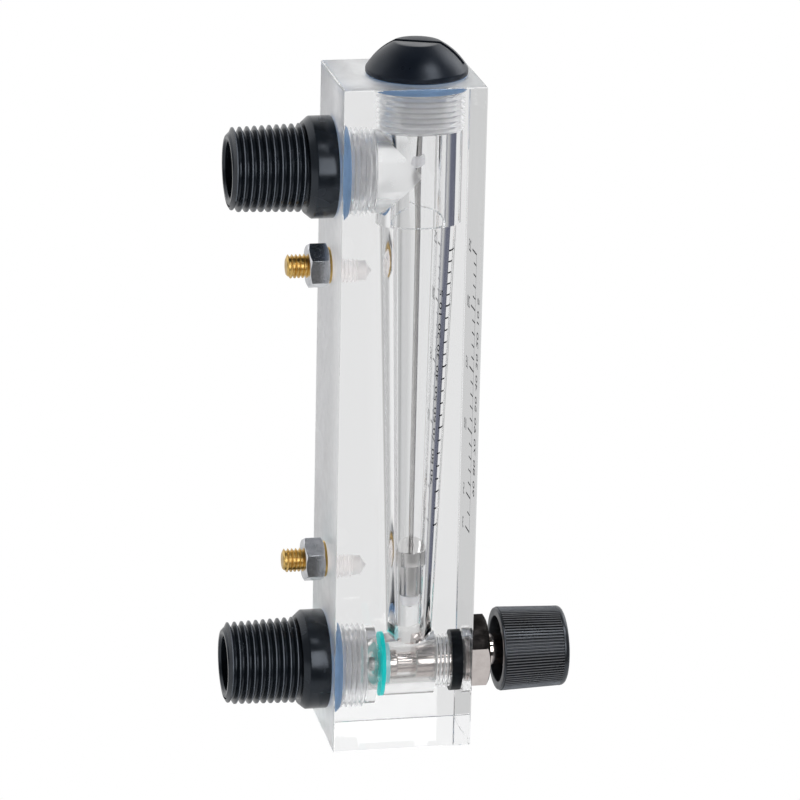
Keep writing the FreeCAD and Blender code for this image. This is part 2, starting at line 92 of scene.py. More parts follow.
@dataclass(frozen=True)
class Layout:
    """The lines and faces that the pieces share, in millimetres. The block's faces come from the frame."""

    bore_y: float = -3.2
    inlet_z: float = 19.3
    outlet_z: float = 147.3
    lower_stud_z: float = 46.0
    upper_stud_z: float = 122.4

    @property
    def block(self) -> tuple[Vector, Vector]:
        """Lowest and highest corner of the block."""
        low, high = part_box("meter_block")
        return low / MM, high / MM

    @property
    def top(self) -> float:
        """Height of the block's top."""
        return self.block[1].z

    @property
    def back(self) -> float:
        """Y of the block's piping side."""
        return self.block[1].y

    @property
    def front(self) -> float:
        """Y of the block's scale side."""
        return self.block[0].y

    def bore(self) -> Line:
        """Middle line of the measuring bore."""
        return Line((0, self.bore_y, 0), Way.UP)

    def pipe(self, height: float) -> Line:
        """Line of a port or stud at a height, towards the piping side."""
        return Line((0, 0, height), Way.BACK)

    def valve(self) -> Line:
        """Line of the valve, towards the scale side."""
        return Line((0, 0, self.inlet_z), Way.FRONT)


LAYOUT = Layout()


def rounded(corners: Sequence[Corner], steps: int = 5) -> Outline:
    """Draws the corners of an outline that carry a rounding as arcs.

    Args:
        corners: Points (x, y), or (x, y, rounding), in order round the outline.
        steps: Number of chords in each arc.

    Returns:
        The outline as plain points.
    """
    points: Outline = []
    for i, corner in enumerate(corners):
        here = Vector(corner[:2])
        if len(corner) < 3 or corner[2] <= 0:
            points.append((here.x, here.y))
            continue
        one = (Vector(corners[i - 1][:2]) - here).normalized()
        two = (Vector(corners[(i + 1) % len(corners)][:2]) - here).normalized()
        half = one.angle(two) / 2
        centre = here + (one + two).normalized() * corner[2] / math.sin(half)
        start = here + one * corner[2] / math.tan(half) - centre
        sweep = start.angle_signed(here + two * corner[2] / math.tan(half) - centre)
        for k in range(steps + 1):
            spoke = start.copy()
            spoke.rotate(Matrix.Rotation(-sweep * k / steps, 2))
            points.append(tuple(centre + spoke))
    return points


def hexagon(across: float, turn: float) -> Outline:
    """Corners of a hexagon of a width across flats, turned by degrees."""
    angles = [math.radians(turn + 60 * i) for i in range(6)]
    return [(across / math.sqrt(3) * math.cos(a), across / math.sqrt(3) * math.sin(a)) for a in angles]


def hex_cone(across: float) -> tuple[float, float, float]:
    """Finds the cone that takes the corners off a hexagon's ends.

    Args:
        across: The hexagon's width across flats.

    Returns:
        A radius past its corners, a radius inside its flats, and the cone's length between them.
    """
    corner = across / math.sqrt(3) + HEX_MARGIN
    face = across / 2 - HEX_MARGIN
    return corner, face, (corner - face) * math.tan(math.radians(HEX_EDGE_ANGLE))


def bar_outline(width: float, reach: float, turn: float) -> Outline:
    """Outline of a long bar across the line that cuts a driver slot.

    Args:
        width: The bar's width.
        reach: Half its length.
        turn: How far it is turned, in degrees.

    Returns:
        The outline's corners.
    """
    matrix, half = Matrix.Rotation(math.radians(turn), 2), width / 2
    corners = ((-half, -reach), (half, -reach), (half, reach), (-half, reach))
    return [tuple(matrix @ Vector(corner)) for corner in corners]


class Shell:
    """Collects the closed surfaces of one piece, in millimetres along its line, and makes them an object."""

    def __init__(self, line: Line) -> None:
        """Starts an empty piece on a line."""
        self.line = line
        self.surface = bmesh.new()

    def turn(self, corners: Sequence[Corner], segments: int = 96, steps: int = 5) -> "Shell":
        """Adds a body turned about the line.

        Args:
            corners: Closed outline of (radius, station) or (radius, station, rounding) corners.
            segments: Number of facets round the line.
            steps: Number of chords in each rounded corner.

        Returns:
            This shell.
        """
        rings = []
        for radius, station in rounded(corners, steps):
            if radius < 1e-6:
                rings.append([self.surface.verts.new((0, 0, station))])
                continue
            angles = (math.tau * i / segments for i in range(segments))
            rings.append([self.surface.verts.new((radius * math.cos(a), radius * math.sin(a), station))
                          for a in angles])
        for ring, after in zip(rings, rings[1:] + rings[:1]):
            if len(ring) == len(after) == 1:
                continue
            for i in range(segments):
                j = (i + 1) % segments
                loop = [ring[i % len(ring)], ring[j % len(ring)],
                        after[j % len(after)], after[i % len(after)]]
                self.surface.faces.new(list(dict.fromkeys(loop)))
        return self

    def prism(self, points: Outline, start: float, end: float) -> "Shell":
        """Adds a straight bar.

        Args:
            points: Its outline across the line.
            start: Station of its first end.
            end: Station of its other end.

        Returns:
            This shell.
        """
        low = [self.surface.verts.new((x, y, start)) for x, y in points]
        high = [self.surface.verts.new((x, y, end)) for x, y in points]
        self.surface.faces.new(low[::-1])
        self.surface.faces.new(high)
        for i in range(len(points)):
            j = (i + 1) % len(points)
            self.surface.faces.new((low[i], low[j], high[j], high[i]))
        return self

    def add(self, mesh: bpy.types.Mesh, shift: float = 0.0, turn: float = 0.0) -> "Shell":
        """Adds a mesh made along local +Z, and frees it.

        Args:
            mesh: The mesh.
            shift: How far it moves along the line.
            turn: How far it turns about the line, in degrees.

        Returns:
            This shell.
        """
        mesh.transform(Matrix.Translation((0, 0, shift)) @ Matrix.Rotation(math.radians(turn), 4, "Z"))
        self.surface.from_mesh(mesh)
        bpy.data.meshes.remove(mesh)
        return self

    def build(self, name: str, finish: "Finish") -> bpy.types.Object:
        """Makes the object, placed in its mesh, in metres, and gives it its finish.

        Args:
            name: The piece's name.
            finish: What it is made of.

        Returns:
            The new object, at the origin.
        """
        bmesh.ops.recalc_face_normals(self.surface, faces=self.surface.faces)
        self.surface.transform(Matrix.Scale(MM, 4) @ self.line.matrix())
        mesh = bpy.data.meshes.new(name)
        self.surface.to_mesh(mesh)
        self.surface.free()
        mesh.shade_smooth()
        mesh.set_sharp_from_angle(angle=math.radians(SHARP_EDGE))
        mesh.materials.clear()
        mesh.materials.append(finish.material())
        piece = bpy.data.objects.new(name, mesh)
        bpy.context.scene.collection.objects.link(piece)
        return piece

    def fit(self, name: str, finish: "Finish", node: str, slot: str, body: str = "meter") -> None:
        """Makes the object and lets it stand for its node."""
        stand_for(self.build(name, finish), node, body)


def stand_for(piece: bpy.types.Object, node: str, body: str) -> None:
    """Lets a piece ride on a body in place of a CAD node.

    Args:
        piece: The piece.
        node: The node that it replaces.
        body: The body that it rides on.
    """
    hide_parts(node)
    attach(piece, body)
    LOG.info("%s rides on %s for node %s", piece.name, body, node)


def solved_mesh(carrier: bpy.types.Object) -> bpy.types.Mesh:
    """A plain mesh of an object as its modifiers leave it."""
    bpy.context.view_layer.update()
    return bpy.data.meshes.new_from_object(carrier.evaluated_get(bpy.context.evaluated_depsgraph_get()))


def settle(piece: bpy.types.Object) -> None:
    """Applies a piece's modifiers to its mesh and removes them.

    Args:
        piece: The piece.
    """
    solved, old = solved_mesh(piece), piece.data
    piece.modifiers.clear()
    piece.data = solved
    bpy.data.meshes.remove(old)


def drop(piece: bpy.types.Object) -> None:
    """Removes a helper object and its mesh.

    Args:
        piece: The object.
    """
    mesh = piece.data
    bpy.data.objects.remove(piece)
    bpy.data.meshes.remove(mesh)


def cut(piece: bpy.types.Object, cutters: list[bpy.types.Object], operation: str = "DIFFERENCE") -> None:
    """Cuts a piece with other closed pieces, which are used up.

    Args:
        piece: The piece.
        cutters: What cuts it. Their finishes go to the faces that they leave.
        operation: The Boolean modifier's operation.
    """
    for cutter in cutters:
        modifier = piece.modifiers.new(cutter.name, "BOOLEAN")
        modifier.operation = operation
        modifier.object = cutter
        modifier.solver = "MANIFOLD"
        modifier.material_mode = "TRANSFER"
    settle(piece)
    for cutter in cutters:
        drop(cutter)


def merge(piece: bpy.types.Object, other: bpy.types.Object) -> None:
    """Adds another piece's surface to a piece of the same finish, and uses it up.

    Args:
        piece: The piece that stays.
        other: The piece that is added.
    """
    surface = bmesh.new()
    surface.from_mesh(piece.data)
    surface.from_mesh(other.data)
    surface.to_mesh(piece.data)
    surface.free()
    drop(other)


def bevelled(piece: bpy.types.Object, width: float, segments: int, limit: float = 30.0) -> None:
    """Rounds a piece's edges and keeps its large faces flat.

    Args:
        piece: The piece.
        width: Width of the rounding in millimetres.
        segments: Number of faces across it.
        limit: Edges that turn by more degrees than this are rounded.
    """
    bevel = piece.modifiers.new("edges", "BEVEL")
    bevel.width = width * MM
    bevel.segments = segments
    bevel.limit_method = "ANGLE"
    bevel.angle_limit = math.radians(limit)
    settle(piece)
    piece.data.shade_smooth()
    piece.data.set_sharp_from_angle(angle=math.radians(SHARP_EDGE))
    for face in piece.data.polygons:
        face.use_smooth = face.area < FLAT_AREA * MM * MM


def linear(shade: float) -> float:
    """Light that shows on a screen as a shade from 0 to 1."""
    return shade ** 2.2


def opaque(colour: Tint, factor: float = 1.0) -> tuple[float, ...]:
    """A colour, made lighter or darker by a factor, with its alpha."""
    return (*(min(1.0, factor * c) for c in colour), 1.0)


class Nodes:
    """Adds nodes to a tree, with their inputs given as values or as other nodes' outputs."""

    def __init__(self, tree: bpy.types.NodeTree) -> None:
        """Works on one tree."""
        self.tree = tree

    def add(self, kind: str, inputs: Optional[dict[Any, Any]] = None, **settings: Any) -> bpy.types.Node:
        """Adds a node.

        Args:
            kind: Blender's type name of the node.
            inputs: Values or output sockets by input name or number.
            **settings: The node's own properties.

        Returns:
            The new node.
        """
        node = self.tree.nodes.new(kind)
        for key, value in settings.items():
            setattr(node, key, value)
        self.feed(node, inputs or {})
        return node

    def feed(self, node: bpy.types.Node, inputs: dict[Any, Any]) -> None:
        """Sets or links a node's inputs.

        Args:
            node: The node.
            inputs: Values or output sockets by input name or number.
        """
        for key, value in inputs.items():
            if isinstance(value, bpy.types.NodeSocket):
                self.tree.links.new(value, node.inputs[key])
            else:
                node.inputs[key].default_value = value

    def group(self, tree: bpy.types.NodeTree, **inputs: Any) -> Any:
        """Adds a shader group and returns its outputs."""
        return self.add("ShaderNodeGroup", inputs, node_tree=tree).outputs

    def math(self, operation: str, *values: Any, clamp: bool = False) -> bpy.types.NodeSocket:
        """Adds a Math node and returns its output."""
        kind = "ShaderNodeMath"
        return self.add(kind, dict(enumerate(values)), operation=operation, use_clamp=clamp).outputs[0]

    def vector(self, **parts: Any) -> bpy.types.NodeSocket:
        """A vector of the parts X, Y and Z that are given."""
        return self.add("ShaderNodeCombineXYZ", parts).outputs[0]

    def between(self, value: Any, low: float, high: float, to_low: float,
                to_high: float) -> bpy.types.NodeSocket:
        """Maps a value from one range to another, held at the ends."""
        return self.add("ShaderNodeMapRange", {0: value, 1: low, 2: high, 3: to_low, 4: to_high}).outputs[0]

    def mix(self, share: Any, first: Any, second: Any) -> bpy.types.NodeSocket:
        """Mixes two colours."""
        return self.add("ShaderNodeMix", {0: share, 6: first, 7: second}, data_type="RGBA").outputs[2]

    def noise(self, place: Any, scale: Any, detail: float, **inputs: Any) -> bpy.types.NodeSocket:
        """Noise at a place."""
        values = {"Vector": place, "Scale": scale, "Detail": detail, **inputs}
        return self.add("ShaderNodeTexNoise", values).outputs[0]

    def ramp(self, share: Any, panels: Sequence[Panel]) -> bpy.types.NodeSocket:
        """Adds colours by bearing.

        Args:
            share: A share of a full turn.
            panels: Bearings from -180 to 180 degrees, each with its shade or colour.

        Returns:
            The colour.
        """
        ramp = self.add("ShaderNodeValToRGB", {0: share})
        stops = ramp.color_ramp.elements
        while len(stops) < len(panels):
            stops.new(1.0)
        for stop, (bearing, shade) in zip(stops, panels):
            shades = shade if isinstance(shade, tuple) else (shade,) * 3
            stop.position = (bearing + 180) / 360
            stop.color = (*(linear(c) for c in shades), 1.0)
        return ramp.outputs[0]


def sockets(tree: bpy.types.NodeTree, inputs: dict[str, tuple[str, Any]], outputs: dict[str, str]) -> None:
    """Names a group's sockets.

    Args:
        tree: The group.
        inputs: Socket type and first value by name.
        outputs: Socket type by name.
    """
    for name, (kind, value) in inputs.items():
        socket = tree.interface.new_socket(name, in_out="INPUT", socket_type=kind)
        if value is not None:
            socket.default_value = value
    for name, kind in outputs.items():
        tree.interface.new_socket(name, in_out="OUTPUT", socket_type=kind)


def shader_group(name: str, inputs: dict[str, tuple[str, Any]], outputs: dict[str, str],
                 fill: Callable[[Nodes, Any], dict[str, bpy.types.NodeSocket]]) -> bpy.types.NodeTree:
    """Builds a shader node group once.

    Args:
        name: The group's name.
        inputs: Socket type and first value by name.
        outputs: Socket type by name.
        fill: Adds the group's nodes, from its inputs, and returns what feeds each output.

    Returns:
        The group.
    """
    if name in bpy.data.node_groups:
        return bpy.data.node_groups[name]
    tree = bpy.data.node_groups.new(name, "ShaderNodeTree")
    sockets(tree, inputs, outputs)
    make = Nodes(tree)
    make.add("NodeGroupOutput", fill(make, make.add("NodeGroupInput").outputs))
    return tree


def moulded_grain() -> bpy.types.NodeTree:
    """Fine uneven skin of a moulded piece: a height, a roughness shift and a tone.

    Returns:
        The group.
    """
    def fill(make: Nodes, given: Any) -> dict[str, bpy.types.NodeSocket]:
        """Adds the group's nodes.

        Args:
            make: Adds nodes to the group.
            given: The group's inputs.

        Returns:
            What feeds each output.
        """
        fine = make.noise(given["Place"], given["Scale"], 4.0)
        broad = make.noise(given["Place"], 160.0, 2.0)
        return {"Height": fine, "Roughness": make.between(broad, 0.3, 0.7, -0.05, 0.07),
                "Tone": make.between(broad, 0.35, 0.7, 0.0, 1.0)}
    return shader_group("moulded grain", {"Place": (POINT, None), "Scale": (VALUE, 2600.0)},
                        {"Height": VALUE, "Roughness": VALUE, "Tone": VALUE}, fill)


def turning_marks() -> bpy.types.NodeTree:
    """Rings that a lathe tool leaves: a height, a roughness shift and a tone along the piece's line.

    Returns:
        The group.
    """
    def fill(make: Nodes, given: Any) -> dict[str, bpy.types.NodeSocket]:
        """Adds the group's nodes.

        Args:
            make: Adds nodes to the group.
            given: The group's inputs.

        Returns:
            What feeds each output.
        """
        apart = make.add("ShaderNodeSeparateXYZ", {0: given["Place"]}).outputs
        squares = make.math("ADD", make.math("POWER", apart[0], 2.0), make.math("POWER", apart[1], 2.0))
        spot = make.vector(X=make.math("POWER", squares, 0.5), Z=apart[2])
        rings = make.noise(spot, given["Scale"], 3.0, Roughness=0.7)
        haze = make.noise(given["Place"], 350.0, 3.0)
        rough = make.math("ADD", make.between(rings, 0.3, 0.7, -0.06, 0.06),
                          make.between(haze, 0.4, 0.7, 0.0, 0.08))
        return {"Height": rings, "Roughness": rough, "Tone": make.between(haze, 0.35, 0.7, 0.0, 1.0)}
    return shader_group("turning marks", {"Place": (POINT, None), "Scale": (VALUE, 9000.0)},
                        {"Height": VALUE, "Roughness": VALUE, "Tone": VALUE}, fill)


def handling_wear() -> bpy.types.NodeTree:
    """Rubbed edges: a mask from how sharply the surface turns, broken up by noise.

    Returns:
        The group.
    """
    def fill(make: Nodes, given: Any) -> dict[str, bpy.types.NodeSocket]:
        """Adds the group's nodes.

        Args:
            make: Adds nodes to the group.
            given: The group's inputs.

        Returns:
            What feeds each output.
        """
        turn = make.add("ShaderNodeNewGeometry").outputs["Pointiness"]
        patches = make.between(make.noise(given["Place"], 900.0, 3.0), 0.35, 0.6, 0.2, 1.0)
        broken = make.math("MULTIPLY", make.between(turn, 0.515, 0.56, 0.0, 1.0), patches)
        return {"Mask": make.math("MULTIPLY", broken, given["Amount"], clamp=True)}
    return shader_group("handling wear", {"Place": (POINT, None), "Amount": (VALUE, 1.0)},
                        {"Mask": VALUE}, fill)


def place_on(make: Nodes, line: Optional[Line]) -> bpy.types.NodeSocket:
    """Adds Object coordinates, laid along a piece's line if it has one.

    Args:
        make: Adds the material's nodes.
        line: The piece's line.

    Returns:
        The coordinates.
    """
    coordinates = make.add("ShaderNodeTexCoord").outputs["Object"]
    if line is None:
        return coordinates
    back = line.matrix().to_3x3().transposed()
    values = {"Vector": coordinates, "Location": back @ Vector(line.foot) * -MM, "Rotation": back.to_euler()}
    return make.add("ShaderNodeMapping", values, vector_type="POINT").outputs[0]


@dataclass(frozen=True)
class Finish:
    """What a piece is made of. Each kind of finish adds its own nodes."""

    name: str

    def material(self) -> bpy.types.Material:
        """The finish's material.

        Returns:
            The material, made on first use.
        """
        name = f"{self.name}_finish"
        if name in bpy.data.materials:
            return bpy.data.materials[name]
        material = bpy.data.materials.new(name)
        material.use_nodes = True
        self.fill(Nodes(material.node_tree), material.node_tree.nodes["Principled BSDF"])
        return material

    def fill(self, make: Nodes, shader: bpy.types.Node) -> None:
        """Adds the finish's nodes to its shader."""
        raise NotImplementedError

    def marks(self, make: Nodes, line: Optional[Line], rings: float) -> Any:
        """Outputs of the group of tool marks, laid along a line."""
        return make.group(turning_marks(), Place=place_on(make, line), Scale=rings)

    def skin(self, make: Nodes, shader: bpy.types.Node, colour: Any, rough: Any, height: Any = None,
             relief: float = 0.0) -> None:
        """Feeds a shader's colour, roughness and bump.

        Args:
            make: Adds the material's nodes.
            shader: The shader.
            colour: Its colour.
            rough: Its roughness.
            height: Height of its relief, if it has one.
            relief: Depth of the relief in metres.
        """
        make.feed(shader, {"Base Color": colour, "Roughness": rough})
        if height is not None:
            bump = make.add("ShaderNodeBump", {"Height": height, "Distance": relief})
            make.feed(shader, {"Normal": bump.outputs[0]})


@dataclass(frozen=True)
class Moulded(Finish):
    """Moulded plastic or rubber with a fine grain, rubbed edges and an optional painted glow."""

    colour: Tint
    worn: Tint
    roughness: float
    grain: float = 2600.0
    relief: float = 0.00002
    wear: float = 0.5
    specular: float = 0.5
    painted_glow: float = 0.0

    def fill(self, make: Nodes, shader: bpy.types.Node) -> None:
        """Adds grain, tone, wear and a painted glow.

        Args:
            make: Adds the material's nodes.
            shader: Its shader.
        """
        place = place_on(make, None)
        grain = make.group(moulded_grain(), Place=place, Scale=self.grain)
        wear = make.group(handling_wear(), Place=place, Amount=self.wear)
        tone = make.mix(grain["Tone"], opaque(self.colour, 0.8), opaque(self.colour))
        rough = make.math("ADD", grain["Roughness"], self.roughness, clamp=True)
        colour = make.mix(wear["Mask"], tone, opaque(self.worn))
        self.skin(make, shader, colour, rough, grain["Height"], self.relief)
        # The emission is a painted glow: light given off by a piece that is no lamp, standing in for light
        # that reaches it inside the block.
        make.feed(shader, {
            "Emission Color": opaque(self.colour), "Emission Strength": self.painted_glow,
            "Specular IOR Level": self.specular, "Specular Tint": (0.8, 0.88, 1.0, 1.0),
        })


@dataclass(frozen=True)
class Turned(Finish):
    """Metal turned on a lathe along a line, or plated after turning."""

    colour: Tint
    shade: Tint
    roughness: float
    line: Line
    rings: float = 9000.0
    relief: float = 0.000004

    def fill(self, make: Nodes, shader: bpy.types.Node) -> None:
        """Adds turning marks and tarnish.

        Args:
            make: Adds the material's nodes.
            shader: Its shader.
        """
        marks = self.marks(make, self.line, self.rings)
        rough = make.math("ADD", marks["Roughness"], self.roughness, clamp=True)
        colour = make.mix(marks["Tone"], opaque(self.colour), opaque(self.shade))
        self.skin(make, shader, colour, rough, marks["Height"], self.relief)
        make.feed(shader, {"Metallic": 1.0})


@dataclass(frozen=True)
class Acrylic(Finish):
    """Clear cast acrylic: polished outside, and finely scored where a tool has bored it."""

    colour: Tint
    roughness: float
    scoring: float = 0.0
    line: Optional[Line] = None
    rings: float = 3000.0

    def fill(self, make: Nodes, shader: bpy.types.Node) -> None:
        """Adds tool marks to clear glass.

        Args:
            make: Adds the material's nodes.
            shader: Its shader.
        """
        marks = self.marks(make, self.line, self.rings)
        tint = make.mix(marks["Tone"], opaque(self.colour), opaque(self.colour, 0.995))
        if self.scoring:
            rough = make.between(marks["Tone"], 0.0, 1.0, 0.85 * self.roughness, 1.15 * self.roughness)
            self.skin(make, shader, tint, rough, marks["Height"], self.scoring)
        else:
            self.skin(make, shader, tint, self.roughness)
        make.feed(shader, {"Transmission Weight": 1.0, "IOR": 1.49})


@dataclass(frozen=True)
class Frosted(Finish):
    """Clear acrylic left white and finely torn by a tap, a drill or a reamer."""

    colour: Tint
    clear: float
    roughness: float
    line: Line
    painted_glow: float = 0.0
    rings: float = 3000.0
    relief: float = 0.000004

    def fill(self, make: Nodes, shader: bpy.types.Node) -> None:
        """Adds tool marks and a painted glow to a partly clear white shader.

        Args:
            make: Adds the material's nodes.
            shader: Its shader.
        """
        marks = self.marks(make, self.line, self.rings)
        tint = make.mix(marks["Tone"], opaque(self.colour), opaque(self.colour, 0.93))
        rough = make.math("ADD", marks["Roughness"], self.roughness, clamp=True)
        self.skin(make, shader, tint, rough, marks["Height"], self.relief)
        # The emission is a painted glow standing in for light that reaches the bored wall inside the block.
        make.feed(shader, {"Emission Color": tint, "Emission Strength": self.painted_glow,
                           "Transmission Weight": self.clear, "IOR": 1.49})


@dataclass(frozen=True)
class Milky(Finish):
    """Soft translucent plastic that scatters light inside, with a painted glow."""

    colour: Tint
    clear: float
    roughness: float
    painted_glow: float

    def fill(self, make: Nodes, shader: bpy.types.Node) -> None:
        """Adds cloudiness and a painted glow to a half clear shader.

        Args:
            make: Adds the material's nodes.
            shader: Its shader.
        """
        grain = make.group(moulded_grain(), Place=place_on(make, None))
        colour = make.mix(grain["Tone"], opaque(self.colour), opaque(self.colour, 1.12))
        self.skin(make, shader, colour, make.math("ADD", grain["Roughness"], self.roughness, clamp=True))
        # The emission is a painted glow standing in for light that reaches the piece inside the block.
        make.feed(shader, {"Emission Color": colour, "Emission Strength": self.painted_glow,
                           "Transmission Weight": self.clear, "IOR": 1.42})


CLEAR = (0.985, 0.988, 0.992)
STEEL = (0.66, 0.65, 0.64)
BRASS, BRASS_SHADE = (0.80, 0.56, 0.20), (0.66, 0.43, 0.14)
BORE_LINE, VALVE_LINE = LAYOUT.bore(), LAYOUT.valve()
POLISHED = Acrylic("acrylic_polished", CLEAR, 0.0)
BORED = Acrylic("acrylic_bored", CLEAR, 0.02, 0.0, BORE_LINE)
FROSTED = Acrylic("acrylic_frosted", CLEAR, 0.32, 0.000004, LAYOUT.pipe(LAYOUT.outlet_z))
SAWN = Acrylic("acrylic_sawn", CLEAR, 0.45, 0.0000005, BORE_LINE, 1500.0)
REAMED = Frosted("acrylic_reamed", (0.8, 0.79, 0.78), 0.84, 0.12, VALVE_LINE, relief=0.0000005)
# The last number of each of these two finishes is a painted glow.
TAPPED = Frosted("acrylic_tapped", (0.95, 0.955, 0.97), 0.65, 0.06, BORE_LINE, 0.06)
DRILLED = Frosted("acrylic_drilled", (0.93, 0.905, 0.905), 0.06, 0.3, BORE_LINE, 0.3)
NYLON = Moulded("black_nylon", (0.013, 0.0175, 0.024), (0.02, 0.026, 0.034), 0.22, relief=0.00001)
# Paler colour painted on the pipe thread's crests: a painted highlight.
NYLON_CREST_HIGHLIGHT = Moulded("nylon_crests", (0.15, 0.165, 0.195), (0.17, 0.185, 0.21), 0.35, relief=0.00001)
CAP_NYLON = Moulded("cap_nylon", (0.01, 0.015, 0.026), (0.016, 0.02, 0.03), 0.32, relief=0.00001,
                    specular=0.45)
KNOB_PLASTIC = Moulded("knob_plastic", (0.012, 0.013, 0.015), (0.05, 0.05, 0.05), 0.3, relief=0.00001,
                       specular=1.0)
# Paler colour painted on the knob ribs' crests: a painted highlight.
KNOB_CREST_HIGHLIGHT = Moulded("knob_crests", (0.16, 0.165, 0.18), (0.2, 0.2, 0.2), 0.4, relief=0.00001)
# The glow of the blue and teal rubber is painted light.
BLUE_RUBBER = Moulded("blue_rubber", (0.26, 0.43, 0.7), (0.3, 0.48, 0.75), 0.45, wear=0.1, painted_glow=0.1)
TEAL_RUBBER = Moulded("teal_rubber", (0.0, 0.66, 0.64), (0.05, 0.7, 0.68), 0.4, wear=0.1, painted_glow=0.4)
BLACK_RUBBER = Moulded("black_rubber", (0.008, 0.011, 0.014), (0.02, 0.02, 0.02), 0.32, wear=0.2,
                       specular=0.1)
INK = Moulded("scale_ink", (0.05, 0.052, 0.06), (0.1, 0.1, 0.1), 0.6, wear=0.0)
# The last number of each of these two finishes is a painted glow.
PALE_PLASTIC = Milky("pale_plastic", (0.62, 0.84, 0.9), 0.35, 0.3, 0.15)
SOFT_CLEAR = Milky("soft_clear", (0.88, 0.88, 0.9), 0.7, 0.3, 0.12)
STEEL_BORE = Turned("stainless_bore", STEEL, (0.58, 0.57, 0.57), 0.12, BORE_LINE, relief=0.0000008)
STEEL_VALVE = Turned("stainless_valve", STEEL, (0.56, 0.55, 0.55), 0.16, VALVE_LINE, relief=0.000001)
NICKEL = Turned("nickel_plate", (0.76, 0.70, 0.675), (0.69, 0.63, 0.61), 0.07, VALVE_LINE, relief=0.0000008)
BRASS_VALVE = Turned("brass_valve", BRASS, BRASS_SHADE, 0.32, VALVE_LINE, 12000.0, 0.0000015)


def brass(height: float) -> Turned:
    """Turned brass of the panel stud and washer at a height."""
    line = LAYOUT.pipe(height)
    return Turned(f"brass_{round(height)}", BRASS, BRASS_SHADE, 0.32, line, 12000.0, 0.0000015)


def zinc(height: float) -> Turned:
    """Zinc plated steel of the panel nut at a height."""
    line = LAYOUT.pipe(height)
    return Turned(f"zinc_{round(height)}", (0.80, 0.81, 0.84), (0.48, 0.5, 0.54), 0.2, line, 5000.0)


def grow(tree: bpy.types.NodeTree, finish: Finish, values: dict[str, Any],
         base: Optional[bpy.types.Mesh] = None) -> bpy.types.Mesh:
    """Runs a Geometry Nodes tree and returns its result as a plain mesh.

    Args:
        tree: The tree.
        finish: What the result is made of.
        values: Values by the names of the tree's inputs.
        base: Mesh that the tree starts from, if it needs one.

    Returns:
        A new mesh, in the tree's own units and place.
    """
    given = {**values, "Material": finish.material()}
    carrier = bpy.data.objects.new("carrier", base or bpy.data.meshes.new("carrier"))
    bpy.context.scene.collection.objects.link(carrier)
    modifier = carrier.modifiers.new("grow", "NODES")
    modifier.node_group = tree
    for item in tree.interface.items_tree:
        if item.item_type == "SOCKET" and item.in_out == "INPUT" and item.name in given:
            modifier[item.identifier] = given[item.name]
    mesh = solved_mesh(carrier)
    drop(carrier)
    return mesh


def start_tree(name: str, inputs: dict[str, tuple[str, Any]]) -> tuple[Nodes, Any]:
    """Starts a Geometry Nodes tree that takes a material beside its other inputs.

    Args:
        name: The tree's name.
        inputs: Socket type and first value by name.

    Returns:
        What adds the tree's nodes, and its inputs as output sockets.
    """
    tree = bpy.data.node_groups.new(name, "GeometryNodeTree")
    sockets(tree, {**inputs, "Material": ("NodeSocketMaterial", None)}, {"Geometry": "NodeSocketGeometry"})
    make = Nodes(tree)
    return make, make.add("NodeGroupInput").outputs


def end_tree(make: Nodes, geometry: bpy.types.NodeSocket,
             material: bpy.types.NodeSocket) -> bpy.types.NodeTree:
    """Ends a Geometry Nodes tree in Realize Instances and Set Material.

    Args:
        make: Adds the tree's nodes.
        geometry: What the tree has made.
        material: The tree's material input.

    Returns:
        The tree.
    """
    real = make.add("GeometryNodeRealizeInstances", {0: geometry})
    dressed = make.add("GeometryNodeSetMaterial", {"Geometry": real.outputs[0], "Material": material})
    make.add("NodeGroupOutput", {0: dressed.outputs[0]})
    return make.tree


def ridge_section(make: Nodes, inner: Any, outer: Any, half_foot: Any,
                  half_crest: Any) -> bpy.types.NodeSocket:
    """Adds the section of a ridge.

    Args:
        make: Adds the tree's nodes.
        inner: Place of its foot, across the ridge's run.
        outer: Place of its crest.
        half_foot: Half its width at the foot.
        half_crest: Half its width at the crest.

    Returns:
        The section as a closed curve.
    """
    points = {}
    spots = ((inner, half_foot, -1.0), (outer, half_crest, -1.0),
             (outer, half_crest, 1.0), (inner, half_foot, 1.0))
    for number, (across, half, side) in enumerate(spots, 1):
        points[f"Point {number}"] = make.vector(X=across, Y=make.math("MULTIPLY", half, side))
    return make.add("GeometryNodeCurvePrimitiveQuadrilateral", points, mode="POINTS").outputs[0]


